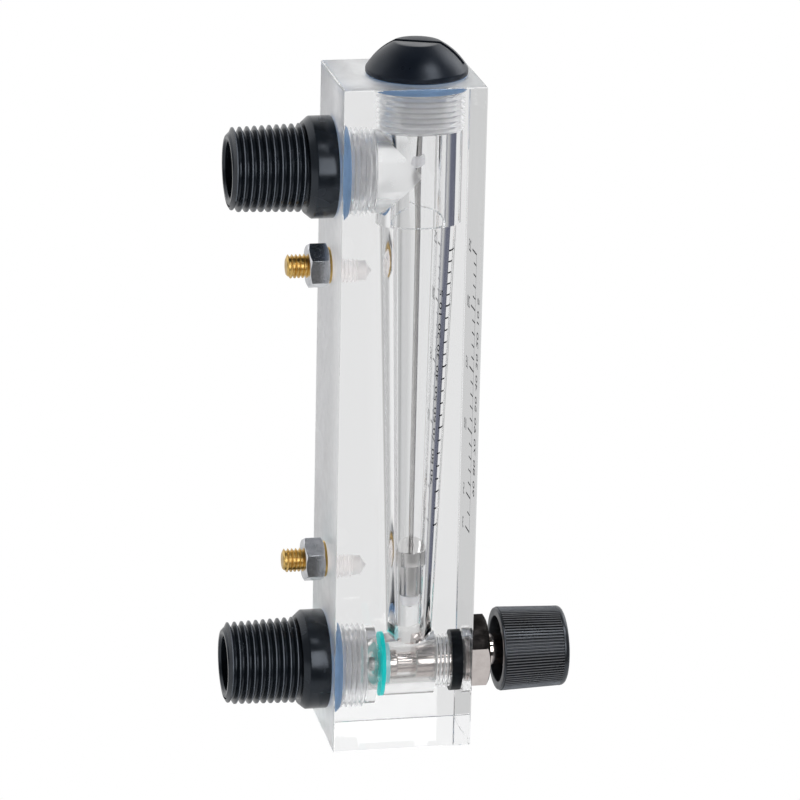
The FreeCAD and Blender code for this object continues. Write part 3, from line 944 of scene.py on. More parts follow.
def thread_tree() -> bpy.types.NodeTree:
    """Geometry Nodes tree that sweeps a ridge along a helix, fading in and out at its ends.

    Returns:
        The tree, made on first use.
    """
    name, first_share = "thread ridge", 0.12
    if name in bpy.data.node_groups:
        return bpy.data.node_groups[name]
    sizes = ("Turns", "Length", "Root", "End Root", "Depth", "Sink", "Half Crest", "Half Foot", "Run In")
    inputs = {"Segments": ("NodeSocketInt", 96), **{size: (VALUE, 1.0) for size in sizes}}
    make, given = start_tree(name, inputs)
    spiral = make.add("GeometryNodeCurveSpiral", {
        "Resolution": given["Segments"], "Rotations": given["Turns"], "Start Radius": given["Root"],
        "End Radius": given["End Root"], "Height": given["Length"],
    })
    upright = make.add("GeometryNodeSetCurveNormal", {"Curve": spiral.outputs[0]}, mode="Z_UP")
    outer = make.math("MULTIPLY", given["Depth"], -1.0)
    section = ridge_section(make, given["Sink"], outer, given["Half Foot"], given["Half Crest"])
    along = make.add("GeometryNodeSplineParameter").outputs["Factor"]
    from_end = make.math("MINIMUM", along, make.math("SUBTRACT", 1.0, along))
    turns_in = make.math("DIVIDE", make.math("MULTIPLY", from_end, given["Turns"]), given["Run In"])
    fade = make.math("MINIMUM", make.math("ADD", turns_in, first_share), 1.0)
    sweep = make.add("GeometryNodeCurveToMesh", {
        "Curve": upright.outputs[0], "Profile Curve": section, "Scale": fade, "Fill Caps": True,
    })
    return end_tree(make, sweep.outputs[0], given["Material"])


def foot_width(crest: float, depth: float, flank: float, sink: float = RIDGE_SINK) -> float:
    """Half a ridge's width where it goes into the piece, from its crest, depth and flank angle."""
    return crest / 2 + (depth + sink) * math.tan(math.radians(flank))


@dataclass(frozen=True)
class Thread:
    """Form of a screw thread's ridge, in millimetres and degrees."""

    pitch: float
    root: float
    depth: float
    crest: float
    length: float
    taper: float = 0.0
    sink: float = RIDGE_SINK
    flank: float = 30.0
    run_in: float = 0.35
    segments: int = 96

    def mesh(self, finish: Finish) -> bpy.types.Mesh:
        """Makes the ridge as a closed helix along +Z from 0 to its length.

        Args:
            finish: What it is made of.

        Returns:
            A new mesh in millimetres.
        """
        return grow(thread_tree(), finish, {
            "Turns": self.length / self.pitch, "Segments": self.segments, "Length": self.length,
            "Root": self.root, "End Root": self.root - self.taper * self.length, "Depth": self.depth,
            "Sink": self.sink, "Half Crest": self.crest / 2,
            "Half Foot": foot_width(self.crest, self.depth, self.flank, self.sink), "Run In": self.run_in,
        })


def stem_thread(length: float) -> Thread:
    """Ridge on the stems that screw into the block's large tapped holes."""
    return Thread(STEM_PITCH, STEM_ROOT, 0.7, 0.1, length, segments=128)


def ring_outline(floor: float, hole: float, shoulder: float, lip: float, lip_round: float,
                 end: float) -> list[Corner]:
    """Outline of a sealing ring that fills a bevelled seat.

    Args:
        floor: Station of the seat's floor.
        hole: Radius of the ring's hole.
        shoulder: Station where the ring's outside turns in.
        lip: Radius that it turns in to.
        lip_round: Rounding of that lip.
        end: Station of its outer face.

    Returns:
        Corners of radius, station and rounding.
    """
    bevel, outside, inner_round = 11.2, 12.31, 0.2
    return [(hole, floor + 0.1, inner_round), (bevel, floor + 0.08, 0.05), (outside, floor + 1.19, 0.05),
            (outside, shoulder, 0.1), (lip, end, lip_round), (hole, end, inner_round)]


@dataclass
class MeterBlock:
    """The clear block with its bores and tapped holes. Depths count from the face that a hole opens in."""

    edge: float = 0.35
    sharp: float = 28.0
    overlap: float = 0.01
    seat: float = 12.3
    seat_straight: float = 1.6
    seat_bevel: float = 1.2
    hole_major: float = 10.95
    hole_depth: float = 0.98
    hole_crest: float = 0.06
    hole_sink: float = 0.05
    run_out: float = 0.3
    top_hole: float = 12.6
    port_hole: float = 9.3
    port_floor: float = 0.1
    chamber: float = 10.5
    chamber_depth: float = 35.8
    way_step: float = 0.03
    taper_top: float = 9.5
    taper_foot: float = 5.8
    valve_chamber: float = 8.4
    pocket: float = 10.2
    web_back: float = 5.8
    web_front: float = 4.5
    web_over: float = 0.2
    web_hole: float = 5.0
    gland_shoulder: float = 9.3
    gland_seat: float = 13.6
    gland_major: float = 7.0
    gland_run_out: float = 0.1
    gland_seat_radius: float = 8.0
    gland_mouth: float = 16.5
    gland_mouth_radius: float = 8.8
    small_depth: float = 0.5
    small_crest: float = 0.1
    stud_major: float = 3.02
    stud_depth: float = 7.8
    stud_thread_start: float = 1.85
    stud_thread_out: float = 0.4
    drill_point: float = 118.0
    facets: int = 160

    @property
    def hole_minor(self) -> float:
        """Radius at the ridges of the large threaded holes."""
        return self.hole_major - self.hole_depth

    @property
    def seat_depth(self) -> float:
        """Depth of a ring seat."""
        return self.seat_straight + self.seat_bevel

    def build(self) -> None:
        """Makes the block and cuts every bore from it."""
        low, high = LAYOUT.block
        flat = [(low.x, low.y), (high.x, low.y), (high.x, high.y), (low.x, high.y)]
        block = Shell(Line((0, 0, 0), Way.UP)).prism(flat, low.z, high.z).build("clear_block", POLISHED)
        bevelled(block, self.edge, 3)
        cut(block, self.bore_cutters() + self.port_cutters() + self.valve_cutters() + self.stud_cutters())
        block.data.shade_smooth()
        block.data.set_sharp_from_angle(angle=math.radians(self.sharp))
        self.saw(block, low, high)
        stand_for(block, "meter_block", "meter")

    def saw(self, block: bpy.types.Object, low: Vector, high: Vector) -> None:
        """Keeps the block's six outer faces flat, and gives its top and back the look of a sawn face.

        Args:
            block: The block.
            low: Its lowest corner in millimetres.
            high: Its highest corner.
        """
        block.data.materials.append(SAWN.material())
        for face in block.data.polygons:
            place, outward = face.center / MM, face.normal
            at_high = [place[k] > high[k] - self.overlap and outward[k] > 0.999 for k in range(3)]
            at_low = [place[k] < low[k] + self.overlap and outward[k] < -0.999 for k in range(3)]
            if any(at_high + at_low):
                face.use_smooth = False
            if at_high[1] or at_high[2]:
                face.material_index = len(block.data.materials) - 1

    def cutter(self, line: Line, corners: Sequence[Corner], name: str, finish: Finish,
               facets: int = 160) -> bpy.types.Object:
        """A turned cutter that leaves a finish on what it cuts."""
        return Shell(line).turn(corners, facets).build(name, finish)

    def seat_outline(self, mouth: float, depth: float) -> list[Corner]:
        """Outline of a plain hole with a bevelled ring seat.

        Args:
            mouth: Station of the face that it opens in.
            depth: Its depth.

        Returns:
            Corners of radius and station.
        """
        radius = self.hole_minor
        stations = [(0, -OVER), (self.seat, -OVER), (self.seat, self.seat_straight),
                    (self.seat - self.seat_bevel, self.seat_depth), (radius, self.seat_depth),
                    (radius, depth), (0, depth)]
        return [(r, mouth - s) for r, s in stations]

    def tap(self, line: Line, start: float, mouth: float) -> bpy.types.Object:
        """Helix that cuts the large thread, from a station to the ring seat under a mouth.

        Args:
            line: The hole's line.
            start: Station where the thread starts.
            mouth: Station of the face that the hole opens in.

        Returns:
            The cutter.
        """
        length = mouth - self.seat_depth + self.run_out - start
        form = Thread(STEM_PITCH, self.hole_minor, self.hole_depth, self.hole_crest, length,
                      sink=self.hole_sink, segments=128)
        return Shell(line).add(form.mesh(TAPPED), start).build("cut_thread", TAPPED)

    def bore_cutters(self) -> list[bpy.types.Object]:
        """The measuring bore: mouth, chamber and taper, and the thread for the cap.

        Returns:
            The cutters.
        """
        line, top, foot = LAYOUT.bore(), LAYOUT.top, LAYOUT.inlet_z
        stem_end = top - self.top_hole
        floor = top - self.chamber_depth
        slope = (self.taper_top - self.taper_foot) / (floor - foot - self.valve_chamber)
        at_foot = self.taper_foot - slope * self.valve_chamber
        roof, ceiling = stem_end + self.overlap, floor + self.overlap
        return [
            self.cutter(line, self.seat_outline(top, self.top_hole), "cut_mouth", TAPPED),
            self.cutter(line, [(0, floor), (self.chamber, floor), (self.chamber, roof), (0, roof)],
                        "cut_chamber", BORED),
            self.cutter(line, [(0, foot), (at_foot, foot), (self.taper_top, ceiling), (0, ceiling)],
                        "cut_taper", BORED),
            self.tap(line, stem_end, top),
        ]

    def port_cutters(self) -> list[bpy.types.Object]:
        """Both ports' threaded holes, the outlet's way to the chamber and the inlet's pocket.

        Returns:
            The cutters.
        """
        back = LAYOUT.back
        end = back - self.port_hole
        cutters = []
        for height in (LAYOUT.inlet_z, LAYOUT.outlet_z):
            line = LAYOUT.pipe(height)
            hole = self.seat_outline(back, self.port_hole + self.port_floor)
            cutters += [self.cutter(line, hole, "cut_port", TAPPED), self.tap(line, end, back)]
        way, start = self.chamber - self.way_step, LAYOUT.bore_y
        outlet = [(0, start), (way, start), (way, end), (0, end)]
        cutters.append(self.cutter(LAYOUT.pipe(LAYOUT.outlet_z), outlet, "cut_outlet_way", FROSTED))
        web = self.web_front - self.web_over
        cutters.append(self.cutter(LAYOUT.pipe(LAYOUT.inlet_z), [
            (0, web), (self.web_hole, web), (self.web_hole, self.web_back), (self.pocket, self.web_back),
            (self.pocket, end), (0, end),
        ], "cut_inlet_pocket", REAMED, 128))
        return cutters

    def valve_cutters(self) -> list[bpy.types.Object]:
        """The valve chamber, the gland's tapped hole and its seat.

        Returns:
            The cutters.
        """
        line = LAYOUT.valve()
        minor = self.gland_major - self.small_depth
        mouth = OVER - LAYOUT.front
        bore = self.cutter(line, [
            (0, -self.web_front), (self.valve_chamber, -self.web_front),
            (self.valve_chamber, self.gland_shoulder), (minor, self.gland_shoulder),
            (minor, self.gland_seat), (self.gland_seat_radius, self.gland_seat),
            (self.gland_seat_radius, self.gland_mouth), (self.gland_mouth_radius, self.gland_mouth),
            (self.gland_mouth_radius, mouth), (0, mouth),
        ], "cut_valve_bore", REAMED, 128)
        form = Thread(SMALL_PITCH, minor, self.small_depth, self.small_crest,
                      self.gland_seat - self.gland_shoulder + 2 * self.gland_run_out)
        start = self.gland_shoulder - self.gland_run_out
        return [bore, Shell(line).add(form.mesh(TAPPED), start).build("cut_gland_thread", TAPPED)]

    def stud_cutters(self) -> list[bpy.types.Object]:
        """Tapped blind holes for the panel studs.

        Returns:
            The cutters.
        """
        back, mouth = LAYOUT.back, LAYOUT.back + OVER
        floor = back - self.stud_depth
        radius = self.stud_major - self.small_depth
        tip = floor - radius / math.tan(math.radians(self.drill_point / 2))
        start = floor + self.stud_thread_start
        length = back + self.stud_thread_out - start
        form = Thread(SMALL_PITCH, radius, self.small_depth, self.small_crest, length, segments=64)
        cutters = []
        for height in (LAYOUT.lower_stud_z, LAYOUT.upper_stud_z):
            line = LAYOUT.pipe(height)
            hole = [(0, tip), (radius, floor), (radius, mouth), (0, mouth)]
            cutters.append(self.cutter(line, hole, "cut_stud_hole", DRILLED, 64))
            cutters.append(Shell(line).add(form.mesh(DRILLED), start).build("cut_stud_thread", DRILLED))
        return cutters


def ticks_tree() -> bpy.types.NodeTree:
    """Geometry Nodes tree that lays a bar of ink on each point, sized by the point's attributes.

    Returns:
        The tree.
    """
    make, given = start_tree("scale ticks", {"Spots": ("NodeSocketGeometry", None), "Sunk": (VALUE, 0.01),
                                             "Proud": (VALUE, 0.01)})
    bar = make.add("GeometryNodeMeshCube", {"Size": (1, 1, 1)})
    kind = "GeometryNodeInputNamedAttribute"
    length, stroke = (make.add(kind, {"Name": name}, data_type="FLOAT").outputs[0]
                      for name in ("length", "stroke"))
    size = make.vector(X=length, Y=stroke, Z=make.math("ADD", given["Sunk"], given["Proud"]))
    lift = make.math("MULTIPLY", make.math("SUBTRACT", given["Proud"], given["Sunk"]), 0.5)
    moved = make.add("GeometryNodeSetPosition", {"Geometry": given["Spots"], "Offset": make.vector(Z=lift)})
    placed = make.add("GeometryNodeInstanceOnPoints", {
        "Points": moved.outputs[0], "Instance": bar.outputs[0], "Scale": size,
    })
    return end_tree(make, placed.outputs[0], given["Material"])


@dataclass
class PrintedScale:
    """Scale printed on the block's front: ticks, their numbers and a column of smaller steps."""

    heights: tuple[float, ...] = (126.0, 111.7, 95.9, 79.9, 62.9, 54.0)
    numbers: tuple[str, ...] = ("25", "20", "15", "10", "5", "3")
    steps: tuple[int, ...] = (5, 5, 5, 5, 2)
    axis: float = -3.6
    axis_stroke: float = 0.16
    long_tick: float = 7.4
    long_stroke: float = 0.45
    short_tick: float = 4.5
    short_stroke: float = 0.4
    figure_size: float = 4.3
    number_x: float = 8.3
    column: str = "90 80 70 60 50 40 30 20 10 5"
    column_x: float = -8.6
    column_z: float = 90.3
    column_turn: float = 90.0
    ink_depth: float = 0.01
    ink_height: float = 0.012

    def build(self) -> None:
        """Prints the scale."""
        highest, lowest = self.heights[0], self.heights[-1]
        spots = [(self.axis, (highest + lowest) / 2, self.axis_stroke, highest - lowest)]
        for i, height in enumerate(self.heights):
            spots.append((self.axis + self.long_tick / 2, height, self.long_tick, self.long_stroke))
            if i < len(self.steps):
                for k in range(1, self.steps[i]):
                    between = height + (self.heights[i + 1] - height) * k / self.steps[i]
                    middle = self.axis + self.short_tick / 2
                    spots.append((middle, between, self.short_tick, self.short_stroke))
        shell = Shell(Line((0, LAYOUT.front, 0), Way.FRONT)).add(self.ticks(spots))
        for number, height in zip(self.numbers, self.heights):
            shell.add(self.figure(number, self.number_x, height))
        shell.add(self.figure(self.column, self.column_x, self.column_z, self.column_turn))
        piece = shell.build("printed_scale", INK)
        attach(piece, "meter")
        LOG.info("%s rides on meter", piece.name)

    def ticks(self, spots: list[tuple[float, float, float, float]]) -> bpy.types.Mesh:
        """Bars of ink.

        Args:
            spots: Place across, height, length and stroke of each bar.

        Returns:
            A new mesh in millimetres.
        """
        points = bpy.data.meshes.new("tick_spots")
        points.from_pydata([(x, z, 0) for x, z, _, _ in spots], [], [])
        for name, index in (("length", 2), ("stroke", 3)):
            attribute = points.attributes.new(name, "FLOAT", "POINT")
            attribute.data.foreach_set("value", [spot[index] for spot in spots])
        return grow(ticks_tree(), INK, {"Sunk": self.ink_depth, "Proud": self.ink_height}, points)

    def figure(self, text: str, x: float, z: float, turn: float = 0.0) -> bpy.types.Mesh:
        """Numbers as a thin solid.

        Args:
            text: The numbers.
            x: Place of their middle across the face.
            z: Height of their middle.
            turn: Degrees that they are turned by.

        Returns:
            A new mesh in millimetres.
        """
        curve = bpy.data.curves.new("figure", "FONT")
        curve.body = text
        curve.size = self.figure_size
        curve.align_x = curve.align_y = "CENTER"
        curve.resolution_u = 3
        curve.extrude = (self.ink_depth + self.ink_height) / 2
        carrier = bpy.data.objects.new("figure", curve)
        bpy.context.scene.collection.objects.link(carrier)
        mesh = solved_mesh(carrier)
        bpy.data.objects.remove(carrier)
        bpy.data.curves.remove(curve)
        place = Matrix.Translation((x, z, (self.ink_height - self.ink_depth) / 2))
        mesh.transform(place @ Matrix.Rotation(math.radians(turn), 4, "Z"))
        return mesh


@dataclass
class TopCap:
    """Screw-in cap with a crown, a driver slot and a threaded stem, and the ring under its rim."""

    radius: float = 12.5
    rim_low: float = 170.1
    rim_high: float = 171.45
    rim_round: float = 0.5
    rim_top_round: float = 0.6
    top: float = 177.9
    flat: float = 5.7
    flat_round: float = 1.2
    lift: float = 0.75
    crown_round: float = 15.8
    neck: float = 9.3
    neck_step: float = 0.1
    seat_floor: float = 167.2
    stem_end: float = 157.4
    stem_edge: float = 0.5
    slot_width: float = 2.0
    slot_depth: float = 5.0
    socket: float = 1.03
    socket_depth: float = 6.0
    edge: float = 0.18
    ring_hole: float = 9.35
    ring_shoulder: float = 169.6
    ring_lip: float = 11.9
    ring_end: float = 169.95

    def build(self) -> None:
        """Makes the cap and its ring."""
        line = LAYOUT.bore()
        bulge = ((self.radius + self.flat) / 2 + self.lift, (self.rim_high + self.top) / 2 + self.lift)
        socket_end = self.stem_end + self.socket_depth
        cap = Shell(line).turn([
            (self.socket, self.stem_end), (STEM_ROOT - self.stem_edge, self.stem_end),
            (STEM_ROOT, self.stem_end + self.stem_edge), (STEM_ROOT, self.seat_floor),
            (self.neck, self.seat_floor + self.neck_step), (self.neck, self.rim_low),
            (self.radius, self.rim_low, self.rim_round), (self.radius, self.rim_high, self.rim_top_round),
            (*bulge, self.crown_round), (self.flat, self.top, self.flat_round), (0, self.top),
            (0, socket_end), (self.socket, socket_end),
        ], 128, 12).build("cap", CAP_NYLON)
        slot = bar_outline(self.slot_width, 2 * self.radius, -SLOT_TURN)
        slot_floor = self.top - self.slot_depth
        cut(cap, [Shell(line).prism(slot, slot_floor, self.top + OVER).build("cut_slot", CAP_NYLON)])
        bevelled(cap, self.edge, 2, 50)
        form = stem_thread(self.seat_floor - self.stem_end - 2 * self.stem_edge)
        ridge = Shell(line).add(form.mesh(CAP_NYLON), self.stem_end + self.stem_edge)
        merge(cap, ridge.build("stem_thread", CAP_NYLON))
        stand_for(cap, "top_cap", "meter")
        ring = ring_outline(self.seat_floor, self.ring_hole, self.ring_shoulder, self.ring_lip, 0.3,
                            self.ring_end)
        Shell(line).turn(ring, 128).fit("cap_ring", BLUE_RUBBER, "cap_seal_ring", "blue_rubber")


@dataclass
class PipeFitting:
    """Pipe fitting with a tapered thread, a collar and a threaded shank, and its sealing ring."""

    side: str
    height: float
    bore: float = 7.0
    bore_round: float = 0.3
    end_edge: float = 0.6
    end_round: float = 0.15
    shank_end: float = 8.28
    shank_edge: float = 0.5
    seat_floor: float = 14.7
    neck: float = 9.5
    neck_step: float = 0.2
    collar: float = 12.5
    collar_front: float = 24.4
    collar_round: float = 0.2
    bevel_run: float = 1.6
    bevel_rise: float = 1.35
    bevel_round: float = 0.5
    foot_round: float = 0.3
    pitch: float = 1.8143
    taper: float = 1 / 32
    gauge: float = 34.77
    gauge_radius: float = 10.4775
    depth: float = 1.16
    crest: float = 0.26
    flank: float = 27.5
    first_crest: float = 25.7
    phase: float = 90.0
    end: float = 42.97
    # Depth under the crests that gets the painted highlight.
    painted_highlight_depth: float = 0.08
    ring_hole: float = 9.55
    ring_shoulder: float = 17.3
    ring_lip: float = 12.1
    ring_end: float = 17.48

    def radius_at(self, station: float) -> float:
        """Radius of the pipe thread's crests at a station."""
        return self.gauge_radius - (station - self.gauge) * self.taper

    def build(self) -> None:
        """Makes the fitting and its ring."""
        line, back = LAYOUT.pipe(self.height), LAYOUT.back
        root = self.radius_at(self.collar_front) - self.depth
        end_root = self.radius_at(self.end) - self.depth
        shell = Shell(line).turn([
            (self.bore, self.shank_end, self.bore_round), (STEM_ROOT - self.shank_edge, self.shank_end),
            (STEM_ROOT, self.shank_end + self.shank_edge), (STEM_ROOT, self.seat_floor - self.neck_step),
            (self.neck, self.seat_floor), (self.neck, back), (self.collar, back, self.collar_round),
            (self.collar, self.collar_front - self.bevel_run, self.bevel_round),
            (self.collar - self.bevel_rise, self.collar_front, self.foot_round),
            (root, self.collar_front, self.foot_round), (end_root, self.end - self.end_edge),
            (end_root - self.end_edge, self.end, self.end_round),
            (self.bore + self.end_edge, self.end, self.end_round), (self.bore, self.end - self.end_edge),
        ], 144)
        start = self.first_crest - 0.75 * self.pitch
        foot = foot_width(self.crest, self.depth, self.flank)
        pipe = Thread(self.pitch, self.radius_at(start) - self.depth, self.depth, self.crest,
                      self.end - 0.3 * foot - start, self.taper, flank=self.flank, segments=112)
        shell.add(pipe.mesh(NYLON), start, self.phase)
        shank = stem_thread(self.seat_floor - self.shank_end - self.shank_edge - self.foot_round)
        shell.add(shank.mesh(NYLON), self.shank_end + self.shank_edge)
        piece = shell.build(f"{self.side}_pipe", NYLON)
        # Paints a highlight on the pipe thread's crests.
        self.paint_crest_highlight(piece)
        stand_for(piece, f"{self.side}_fitting", "meter")
        ring = ring_outline(self.seat_floor, self.ring_hole, self.ring_shoulder, self.ring_lip, 0.1,
                            self.ring_end)
        Shell(line).turn(ring, 128).fit(f"{self.side}_ring", BLUE_RUBBER, f"{self.side}_seal_ring",
                                        "blue_rubber")

    def paint_crest_highlight(self, piece: bpy.types.Object) -> None:
        """Gives the pipe thread's crests a paler finish, a painted highlight.

        Args:
            piece: The fitting.
        """
        piece.data.materials.append(NYLON_CREST_HIGHLIGHT.material())
        for face in piece.data.polygons:
            x, y, z = face.center / MM
            out = math.hypot(x, z - self.height)
            if y > self.collar_front + 0.4 and out > self.radius_at(y) - self.painted_highlight_depth:
                face.material_index = 1


@dataclass
class PanelStud:
    """Brass stud screwed into the block, with its washer and nut."""

    side: str
    height: float
    turn: float
    major: float = 2.95
    root: float = 2.45
    crest: float = 0.12
    edge: float = 0.4
    edge_round: float = 0.1
    start: float = 11.3
    end: float = 28.3
    thread_inset: float = 0.25
    washer: float = 4.5
    washer_hole: float = 3.2
    washer_low: float = 17.5
    washer_round: float = 0.2
    burr: float = 0.08
    nut_low: float = 18.1
    nut_high: float = 23.1
    nut_edge: float = 0.3
    across: float = 10.0
    hole: float = 2.6
    mouth: float = 3.15

    def build(self) -> None:
        """Makes the stud, washer and nut."""
        line, metal = LAYOUT.pipe(self.height), brass(self.height)
        inner = self.root - self.edge
        stud = Shell(line).turn([
            (0, self.start), (inner, self.start), (self.root, self.start + self.edge),
            (self.root, self.end - self.edge), (inner, self.end, self.edge_round), (0, self.end),
        ], 64)
        form = Thread(SMALL_PITCH, self.root, self.major - self.root, self.crest,
                      self.end - self.start - 2 * self.thread_inset, segments=64)
        stud.add(form.mesh(metal), self.start + self.thread_inset)
        stud.fit(f"{self.side}_stud_brass", metal, f"{self.side}_stud", "brass")
        Shell(line).turn([
            (self.washer_hole, self.washer_low), (self.washer, self.washer_low, self.burr),
            (self.washer, self.nut_low, self.washer_round), (self.washer_hole, self.nut_low, self.burr),
        ], 72).fit(f"{self.side}_washer_brass", metal, f"{self.side}_washer", "brass")
        self.build_nut(line)

    def build_nut(self, line: Line) -> None:
        """Makes the nut.

        Args:
            line: The stud's line.
        """
        metal, low, high = zinc(self.height), self.nut_low, self.nut_high
        bar = Shell(line).prism(hexagon(self.across, self.turn), low, high)
        nut = bar.build(f"{self.side}_nut_zinc", metal)
        corner, face, run = hex_cone(self.across)
        lathe = Shell(line).turn([
            (0, low), (face, low), (corner, low + run), (corner, high - run), (face, high), (0, high),
        ], 96).build("lathe", metal)
        cut(nut, [lathe], "INTERSECT")
        flare = self.mouth - self.hole
        hole = Shell(line).turn([
            (0, low - OVER), (self.mouth, low - OVER), (self.mouth, low), (self.hole, low + flare),
            (self.hole, high - flare), (self.mouth, high), (self.mouth, high + OVER), (0, high + OVER),
        ], 64).build("hole", metal)
        cut(nut, [hole])
        bevelled(nut, self.nut_edge, 3, 15)
        stand_for(nut, f"{self.side}_nut", "meter")


@dataclass
class FloatColumn:
    """Guide rod with its two soft stops, and the float that slides between them."""

    rod: float = 1.0
    rod_foot: float = 33.4
    rod_top: float = 163.37
    rod_round: float = 0.25
    stop_grip: float = 0.005
    stop_round: float = 0.8
    stops: tuple[tuple[str, float, float, float], ...] = (
        ("upper_float_stop", 2.2, 147.5, 150.1), ("lower_float_stop", 3.8, 34.6, 37.3),
    )
    rest: float = 37.3
    slide: float = 0.06
    body: float = 4.45
    body_length: float = 8.5
    body_edge: float = 0.45
    groove: float = 4.25
    groove_depth: float = 0.15
    head: float = 5.9
    head_length: float = 3.85
    head_edge: float = 0.4

    def build(self) -> None:
        """Makes the rod, the stops and the float."""
        line = LAYOUT.bore()
        Shell(line).turn([
            (0, self.rod_foot), (self.rod, self.rod_foot, self.rod_round), (self.rod, self.rod_top),
            (0, self.rod_top),
        ], 48).fit("rod", STEEL_BORE, "guide_rod", "stainless")
        inner = self.rod + self.stop_grip
        for node, radius, low, high in self.stops:
            outline = [(inner, low), (radius, low, self.stop_round), (radius, high, self.stop_round),
                       (inner, high)]
            Shell(line).turn(outline, 64, 8).fit(f"{node}_bead", SOFT_CLEAR, node, "soft_clear")
        hole, fine = self.rod + self.slide, 0.1
        shoulder = self.rest + self.body_length
        top = shoulder + self.head_length
        Shell(line).turn([
            (hole, self.rest, 0.15), (self.body - self.body_edge, self.rest),
            (self.body, self.rest + self.body_edge, 0.2),
            (self.body, shoulder - 2 * self.groove_depth, fine),
            (self.groove, shoulder - self.groove_depth, fine), (self.groove, shoulder),
            (self.head, shoulder, 0.15), (self.head, top, 0.2), (hole + self.head_edge, top, fine),
            (hole, top - self.head_edge),
        ], 96).fit("float_body", STEEL_BORE, "float", "stainless", "float")


def slotted(shell: Shell, name: str, face: float, into: int) -> bpy.types.Object:
    """Cuts a driver slot in a screw's face.

    Args:
        shell: The screw's body.
        name: The screw's name.
        face: Station of its face.
        into: 1 where the screw lies at higher stations than its face, and -1 where it lies lower.

    Returns:
        The screw.
    """
    width, depth, reach = 0.7, 0.7, 5.0
    line = shell.line
    screw = shell.build(name, STEEL_VALVE)
    low, high = sorted((face + depth * into, face - OVER * into))
    slot = Shell(line).prism(bar_outline(width, reach, SLOT_TURN), low, high)
    cut(screw, [slot.build("cut_screw_slot", STEEL_VALVE)])
    return screw


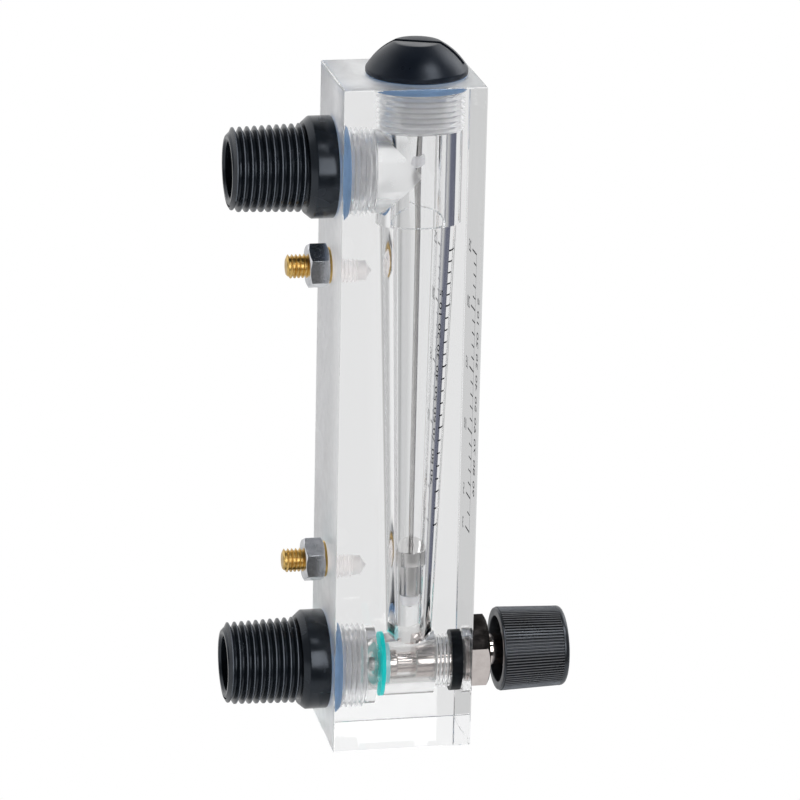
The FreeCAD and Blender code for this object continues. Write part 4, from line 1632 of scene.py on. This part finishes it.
@dataclass
class Valve:
    """Needle side of the meter: seal, head, spindle and the gland that they turn in."""

    screw_hole: float = 1.6
    seal: float = 8.41
    seal_back: float = -4.51
    seal_front: float = -3.4
    seal_edge: float = 8.2
    head: float = 8.15
    head_front: float = -2.3
    spindle: float = 4.0
    spindle_back: float = -2.28
    flange: float = 5.4
    flange_front: float = 0.1
    groove: float = 3.0
    groove_low: float = 10.3
    groove_high: float = 12.7
    spindle_front: float = 28.8
    journal: float = 2.5
    journal_low: float = 29.2
    journal_high: float = 38.2
    slide: float = 0.06
    nose: float = 6.2
    nose_low: float = 4.7
    thread_root: float = 6.35
    thread_low: float = 9.3
    thread_high: float = 13.6
    neck: float = 6.0
    gland_flange: float = 8.5
    gland_flange_low: float = 16.9
    hex_low: float = 17.5
    hex_high: float = 23.8
    across: float = 18.0
    hex_turn: float = 38.3

    def build(self) -> None:
        """Makes the valve's pieces."""
        line, hole = LAYOUT.valve(), self.screw_hole
        Shell(line).turn([
            (hole, self.seal_back), (self.seal, self.seal_back, 0.05),
            (self.seal, self.seal_front - 0.1, 0.1), (self.seal_edge, self.seal_front),
            (hole, self.seal_front),
        ], 128).fit("seal_disc", TEAL_RUBBER, "valve_seal", "teal_rubber", "valve_head")
        Shell(line).turn([
            (hole, self.seal_front), (self.head, self.seal_front, 0.1), (self.head, self.head_front, 0.3),
            (hole, self.head_front),
        ], 96).fit("head_disc", PALE_PLASTIC, "valve_head", "pale_plastic", "valve_head")
        self.build_spindle(line)
        self.build_gland(line)
        inner, low, high = self.neck + 0.03, self.thread_high - 0.01, self.gland_flange_low - 0.01
        Shell(line).turn([
            (inner, low, 0.2), (8.01, low, 0.05), (8.01, 16.3, 0.3), (7.6, high, 0.2), (inner, high, 0.2),
        ], 96).fit("gland_washer", BLACK_RUBBER, "gland_seal", "black_rubber")

    def build_spindle(self, line: Line) -> None:
        """Makes the spindle with its ring and the screw in its nose.

        Args:
            line: The valve's line.
        """
        fine, edge = 0.1, self.journal_low - self.spindle_front
        Shell(line).turn([
            (0, self.spindle_back), (self.flange, self.spindle_back, 0.25),
            (self.flange, self.flange_front, 0.25), (self.spindle, self.flange_front, 0.3),
            (self.spindle, self.groove_low, fine),
            (self.groove, self.groove_low, fine), (self.groove, self.groove_high, fine),
            (self.spindle, self.groove_high, fine), (self.spindle, self.spindle_front, fine),
            (self.spindle - edge, self.journal_low), (self.journal, self.journal_low),
            (self.journal, self.journal_high, 0.2), (0, self.journal_high),
        ], 96).fit("spindle", NICKEL, "valve_spindle", "nickel_plate", "spindle")
        inner, outer, low, high = self.groove + 0.05, 4.03, self.groove_low + 0.3, self.groove_high - 0.3
        ring = [(inner, low, 0.4), (outer, low, 0.45), (outer, high, 0.45), (inner, high, 0.4)]
        Shell(line).turn(ring, 64).fit("spindle_ring", BLACK_RUBBER, "spindle_seal_ring", "black_rubber",
                                       "spindle")
        radius, head, back, seat, tip = 1.5, 2.8, -6.1, -4.5, 0.7
        screw = Shell(line).turn([
            (0, back), (head, back, 0.3), (head, seat), (radius, seat), (radius, tip), (0, tip),
        ], 64)
        stand_for(slotted(screw, "nose_screw", back, 1), "seal_screw", "spindle")

    def build_gland(self, line: Line) -> None:
        """Makes the gland: nose, thread, neck, flange and hexagon.

        Args:
            line: The valve's line.
        """
        bore, run_out, fine = self.spindle + self.slide, 0.1, 0.1
        gland = Shell(line).turn([
            (bore, self.nose_low, 0.15), (self.nose, self.nose_low, 0.35), (self.nose, self.thread_low),
            (self.thread_root, self.thread_low + run_out), (self.thread_root, self.thread_high),
            (self.neck, self.thread_high), (self.neck, self.gland_flange_low),
            (self.gland_flange, self.gland_flange_low, fine), (self.gland_flange, self.hex_low, fine),
            (bore, self.hex_low),
        ], 96)
        form = Thread(SMALL_PITCH, self.thread_root, 0.53, 0.1, self.thread_high - self.thread_low)
        body = gland.add(form.mesh(NICKEL), self.thread_low - run_out).build("gland", NICKEL)
        outline = hexagon(self.across, self.hex_turn)
        bar = Shell(line).prism(outline, self.hex_low, self.hex_high).build("hexagon", NICKEL)
        (corner, face, run), end, edge = hex_cone(self.across), self.hex_high, 0.3
        lathe = Shell(line).turn([
            (bore, self.hex_low - OVER), (corner, self.hex_low - OVER), (corner, end - run), (face, end),
            (bore + edge, end), (bore, end - edge),
        ], 128).build("lathe", NICKEL)
        cut(bar, [lathe], "INTERSECT")
        bevelled(bar, 0.15, 2, 15)
        merge(body, bar)
        stand_for(body, "valve_gland", "meter")


def ribs_tree() -> bpy.types.NodeTree:
    """Geometry Nodes tree that sets ribs round a circle and draws them in towards their far ends.

    Returns:
        The tree.
    """
    sizes = ("Radius", "Height", "Length", "Half Foot", "Half Crest", "Draft")
    inputs = {"Count": ("NodeSocketInt", 84), **{size: (VALUE, 1.0) for size in sizes}}
    make, given = start_tree("knob ribs", inputs)
    section = ridge_section(make, 0.0, given["Height"], given["Half Foot"], given["Half Crest"])
    face = make.add("GeometryNodeFillCurve", {0: section})
    bar = make.add("GeometryNodeExtrudeMesh", {
        "Mesh": face.outputs[0], "Offset": make.vector(Z=given["Length"]), "Individual": False,
    }, mode="FACES")
    under = make.add("GeometryNodeFlipFaces", {0: face.outputs[0]})
    rib = make.add("GeometryNodeJoinGeometry", {0: bar.outputs[0]})
    make.feed(rib, {0: under.outputs[0]})
    closed = make.add("GeometryNodeMergeByDistance", {"Geometry": rib.outputs[0], "Distance": 0.0001})
    circle = make.add("GeometryNodeMeshCircle", {"Vertices": given["Count"], "Radius": given["Radius"]})
    share = make.math("DIVIDE", make.add("GeometryNodeInputIndex").outputs[0], given["Count"])
    angle = make.vector(Z=make.math("MULTIPLY", share, math.tau))
    turn = make.add("FunctionNodeEulerToRotation", {0: angle})
    placed = make.add("GeometryNodeInstanceOnPoints", {
        "Points": circle.outputs[0], "Instance": closed.outputs[0], "Rotation": turn.outputs[0],
    })
    solid = make.add("GeometryNodeRealizeInstances", {0: placed.outputs[0]})
    here = make.add("GeometryNodeInputPosition").outputs[0]
    run = make.math("DIVIDE", make.add("ShaderNodeSeparateXYZ", {0: here}).outputs[2], given["Length"])
    loss = make.math("MULTIPLY", run, make.math("DIVIDE", given["Draft"], given["Radius"]))
    shrink = make.math("SUBTRACT", 1.0, loss)
    drawn = make.add("ShaderNodeVectorMath", {0: here, 1: make.vector(X=shrink, Y=shrink, Z=1.0)},
                     operation="MULTIPLY")
    tapered = make.add("GeometryNodeSetPosition", {"Geometry": solid.outputs[0],
                                                   "Position": drawn.outputs[0]})
    return end_tree(make, tapered.outputs[0], given["Material"])


@dataclass
class Knob:
    """Ribbed knob with its metal insert and the screw that holds it."""

    ribs: int = 84
    foot_share: float = 0.45
    crest_share: float = 0.198
    tip: float = 10.65
    root: float = 10.12
    sink: float = 0.1
    draft: float = 0.5
    back: float = 27.0
    front: float = 44.1
    back_rim: float = 0.6
    back_inset: float = 0.2
    front_rim: float = 1.5
    front_round: float = 1.1
    skirt: float = 8.4
    skirt_floor: float = 35.0
    hub: float = 5.6
    hub_back: float = 29.2
    recess: float = 3.6
    recess_floor: float = 42.1
    insert: float = 4.2
    insert_bore: float = 2.53
    insert_front: float = 40.7
    gap: float = 0.03
    screw: float = 1.5
    screw_back: float = 34.2
    screw_head: float = 2.8
    screw_front: float = 43.6

    def build(self) -> None:
        """Makes the knob, insert and screw."""
        line = LAYOUT.valve()
        low, high = self.back + self.back_rim, self.front - self.front_rim
        rim, front_tip = self.tip - self.back_inset, self.tip - self.draft
        socket, screw_hole = self.insert + self.gap, self.screw + self.gap
        body = Shell(line).turn([
            (socket, self.hub_back, 0.1), (self.hub, self.hub_back, 0.2), (self.hub, self.skirt_floor, 0.4),
            (self.skirt, self.skirt_floor, 0.4), (self.skirt, self.back, 0.2), (rim, self.back, 0.25),
            (rim, low, 0.1), (self.root, low), (self.root - self.draft, high), (front_tip, high, 0.1),
            (front_tip, self.front, self.front_round), (self.recess, self.front, 0.25),
            (self.recess, self.recess_floor, 0.15), (screw_hole, self.recess_floor),
            (screw_hole, self.insert_front), (socket, self.insert_front),
        ], 168)
        step = math.tau * self.root / self.ribs
        body.add(grow(ribs_tree(), KNOB_PLASTIC, {
            "Count": self.ribs, "Radius": self.root - self.sink, "Height": self.tip - self.root + self.sink,
            "Length": high - low + self.sink, "Draft": self.draft, "Half Foot": self.foot_share * step,
            "Half Crest": self.crest_share * step,
        }), low)
        knob = body.build("knob_body", KNOB_PLASTIC)
        # Paints a highlight on the ribs' crests.
        self.paint_crest_highlight(knob)
        stand_for(knob, "knob", "spindle")
        sleeve_end = self.insert_front - self.gap
        Shell(line).turn([
            (self.insert_bore, self.hub_back, 0.1), (self.insert, self.hub_back, 0.1),
            (self.insert, sleeve_end), (self.insert_bore, sleeve_end),
        ], 64).fit("insert", BRASS_VALVE, "knob_insert", "brass", "spindle")
        screw = Shell(line).turn([
            (0, self.screw_back), (self.screw, self.screw_back), (self.screw, self.recess_floor),
            (self.screw_head, self.recess_floor), (self.screw_head, self.screw_front, 0.3),
            (0, self.screw_front),
        ], 64)
        stand_for(slotted(screw, "front_screw", self.screw_front, -1), "knob_screw", "spindle")

    def paint_crest_highlight(self, knob: bpy.types.Object) -> None:
        """Gives the ribs' crests a paler finish, a painted highlight.

        Args:
            knob: The knob.
        """
        knob.data.materials.append(KNOB_CREST_HIGHLIGHT.material())
        for face in knob.data.polygons:
            x, y, z = face.center / MM
            out = math.hypot(x, z - LAYOUT.inlet_z)
            drawn = self.draft * (-y - self.back) / (self.front - self.back)
            on_rib = self.back + self.back_rim + 0.1 < -y < self.front - self.front_rim - 0.1
            if on_rib and out + drawn > self.tip - 0.08:
                face.material_index = 1


@dataclass(frozen=True)
class Lamp:
    """A soft rectangular lamp that faces the meter: its place and size in metres and its power."""

    name: str
    place: tuple[float, float, float]
    size: tuple[float, float]
    watts: float
    aim: tuple[float, float, float] = (0.0, 0.0, 0.09)

    def build(self) -> None:
        """Hangs the lamp."""
        light = bpy.data.objects.new(self.name, bpy.data.lights.new(self.name, "AREA"))
        light.data.shape = "RECTANGLE"
        light.data.size, light.data.size_y = self.size
        light.data.energy = self.watts
        light.location = self.place
        light.rotation_euler = (Vector(self.place) - Vector(self.aim)).to_track_quat("Z", "Y").to_euler()
        bpy.context.scene.collection.objects.link(light)


@dataclass
class Studio:
    """Pale floor, soft light all round and the camera. Shades are those that a screen shows."""

    lens: float = 196.3
    eye: tuple[float, float, float] = (-1.0045, 0.2071, 0.4249)
    right: tuple[float, float, float] = (-0.19605, -0.98038, 0.02045)
    down: tuple[float, float, float] = (-0.31079, 0.04234, -0.94954)
    forward: tuple[float, float, float] = (0.93004, -0.19251, -0.31299)
    floor_colour: Tint = (0.82, 0.82, 0.83)
    strength: float = 1.08
    ceiling: float = 0.3
    ceiling_rise: tuple[float, float] = (0.6, 0.9)
    horizon: float = 0.06
    table: float = 0.97
    table_rise: tuple[float, float] = (-0.55, -0.42)
    first_bounces: float = 2.5
    lamps: tuple[Lamp, ...] = (
        Lamp("window", (-1.45, -0.31, 0.55), (0.45, 1.0), 6.0),
        Lamp("overhead", (-0.62, -0.5, 1.25), (0.5, 0.5), 4.5),
        Lamp("fill", (0.5, -1.0, 0.8), (0.6, 0.8), 3.0),
    )
    lower_panels: tuple[Panel, ...] = (
        (-180, 0.65), (-155, 0.65), (-140, 0.73), (-114, 0.73), (-106, 0.66), (-98, (0.47, 0.48, 0.52)),
        (-94, (0.38, 0.39, 0.45)), (-62, (0.38, 0.39, 0.44)), (-59, 0.89), (-20, 0.89), (-5, 0.883),
        (4, 0.84), (10, 0.79), (18, 0.79), (27, 0.80), (38, 0.75), (41, 0.62), (52, 0.71), (64, 0.77),
        (70, 0.93), (95, 0.93), (130, 0.84), (150, 0.7), (180, 0.65),
    )
    upper_panels: tuple[Panel, ...] = (
        (-180, 0.5), (-80, 0.5), (-70, 0.95), (70, 0.95), (80, 0.5), (180, 0.5),
    )
    mirror_panels: tuple[Panel, ...] = (
        (-180, 0.3), (-125, 0.3), (-100, 1.0), (125, 1.0), (150, 0.3), (180, 0.3),
    )
    mirror_table: float = 0.68

    def build(self) -> None:
        """Sets up the floor, the light and the camera."""
        self.build_floor()
        self.build_light()
        self.build_camera()
        scene = bpy.context.scene
        scene.view_settings.view_transform = "Standard"
        scene.cycles.max_bounces = 32
        scene.cycles.transmission_bounces = 32
        scene.cycles.glossy_bounces = 16
        scene.cycles.sample_clamp_indirect = 10.0

    def build_floor(self) -> None:
        """A wide pale floor that looks white behind the meter and a little darker through it."""
        bpy.ops.mesh.primitive_plane_add(size=12.0, location=(0, 0, -0.0001))
        floor = bpy.context.object
        floor.name = "studio_floor"
        material = bpy.data.materials.new("studio_floor")
        material.use_nodes = True
        make = Nodes(material.node_tree)
        shader = make.tree.nodes["Principled BSDF"]
        make.feed(shader, {"Base Color": opaque(self.floor_colour), "Roughness": 0.8})
        seen = make.add("ShaderNodeEmission", {"Color": (1, 1, 1, 1), "Strength": 1.0})
        to_camera = make.add("ShaderNodeLightPath").outputs["Is Camera Ray"]
        last = make.add("ShaderNodeMixShader", {0: to_camera, 1: shader.outputs[0], 2: seen.outputs[0]})
        make.feed(make.tree.nodes["Material Output"], {0: last.outputs[0]})
        floor.data.materials.append(material)
        floor.visible_transmission = False
        floor.visible_glossy = False

    def build_light(self) -> None:
        """Hangs the lamps in a room of two rows of soft panels, a ceiling and a table."""
        world = bpy.data.worlds.new("studio")
        bpy.context.scene.world = world
        world.use_nodes = True
        make = Nodes(world.node_tree)
        table, ceiling = ((*[linear(shade)] * 3, 1.0) for shade in (self.table, self.ceiling))
        towards = make.add("ShaderNodeTexCoord").outputs["Generated"]
        x, y, z = make.add("ShaderNodeSeparateXYZ", {0: towards}).outputs
        bearing = make.between(make.math("ARCTAN2", y, x), -math.pi, math.pi, 0.0, 1.0)
        overhead = make.between(z, *self.ceiling_rise, 0.0, 1.0)
        above = make.mix(overhead, make.ramp(bearing, self.upper_panels), ceiling)
        up = make.between(z, -self.horizon, self.horizon, 0.0, 1.0)
        on_table = make.between(z, *self.table_rise, 1.0, 0.0)
        around = make.mix(on_table, make.mix(up, make.ramp(bearing, self.lower_panels), above), table)
        path = make.add("ShaderNodeLightPath").outputs
        first = make.math("LESS_THAN", path["Ray Depth"], self.first_bounces)
        mirrored = make.math("MULTIPLY", path["Is Reflection Ray"], first)
        share = make.mix(on_table, make.ramp(bearing, self.mirror_panels), opaque((self.mirror_table,) * 3))
        loss = make.math("MULTIPLY", mirrored, make.math("SUBTRACT", 1.0, share))
        dimmed = make.mix(loss, around, (0, 0, 0, 1))
        shown = make.mix(path["Is Camera Ray"], dimmed, (1.0, 1.0, 1.0, 1.0))
        make.feed(make.tree.nodes["Background"], {"Color": shown, "Strength": self.strength})
        for lamp in self.lamps:
            lamp.build()

    def build_camera(self) -> None:
        """Sets the camera where the photograph was taken from."""
        camera = bpy.data.objects.new("camera", bpy.data.cameras.new("camera"))
        bpy.context.scene.collection.objects.link(camera)
        camera.data.lens = self.lens
        camera.data.sensor_width = 36.0
        camera.data.clip_start = 0.05
        axes = Matrix((Vector(self.right), -Vector(self.down), -Vector(self.forward)))
        camera.matrix_world = Matrix.Translation(self.eye) @ axes.transposed().to_4x4()
        bpy.context.scene.camera = camera


def main() -> None:
    """Builds and dresses the meter, piece by piece."""
    logging.basicConfig(level=logging.INFO, format="%(name)s: %(message)s")
    MeterBlock().build()
    PrintedScale().build()
    TopCap().build()
    PipeFitting("outlet", LAYOUT.outlet_z).build()
    PipeFitting("inlet", LAYOUT.inlet_z).build()
    PanelStud("upper", LAYOUT.upper_stud_z, 26.0).build()
    PanelStud("lower", LAYOUT.lower_stud_z, 28.5).build()
    FloatColumn().build()
    Valve().build()
    Knob().build()
    Studio().build()


if __name__ == "__main__":
    main()
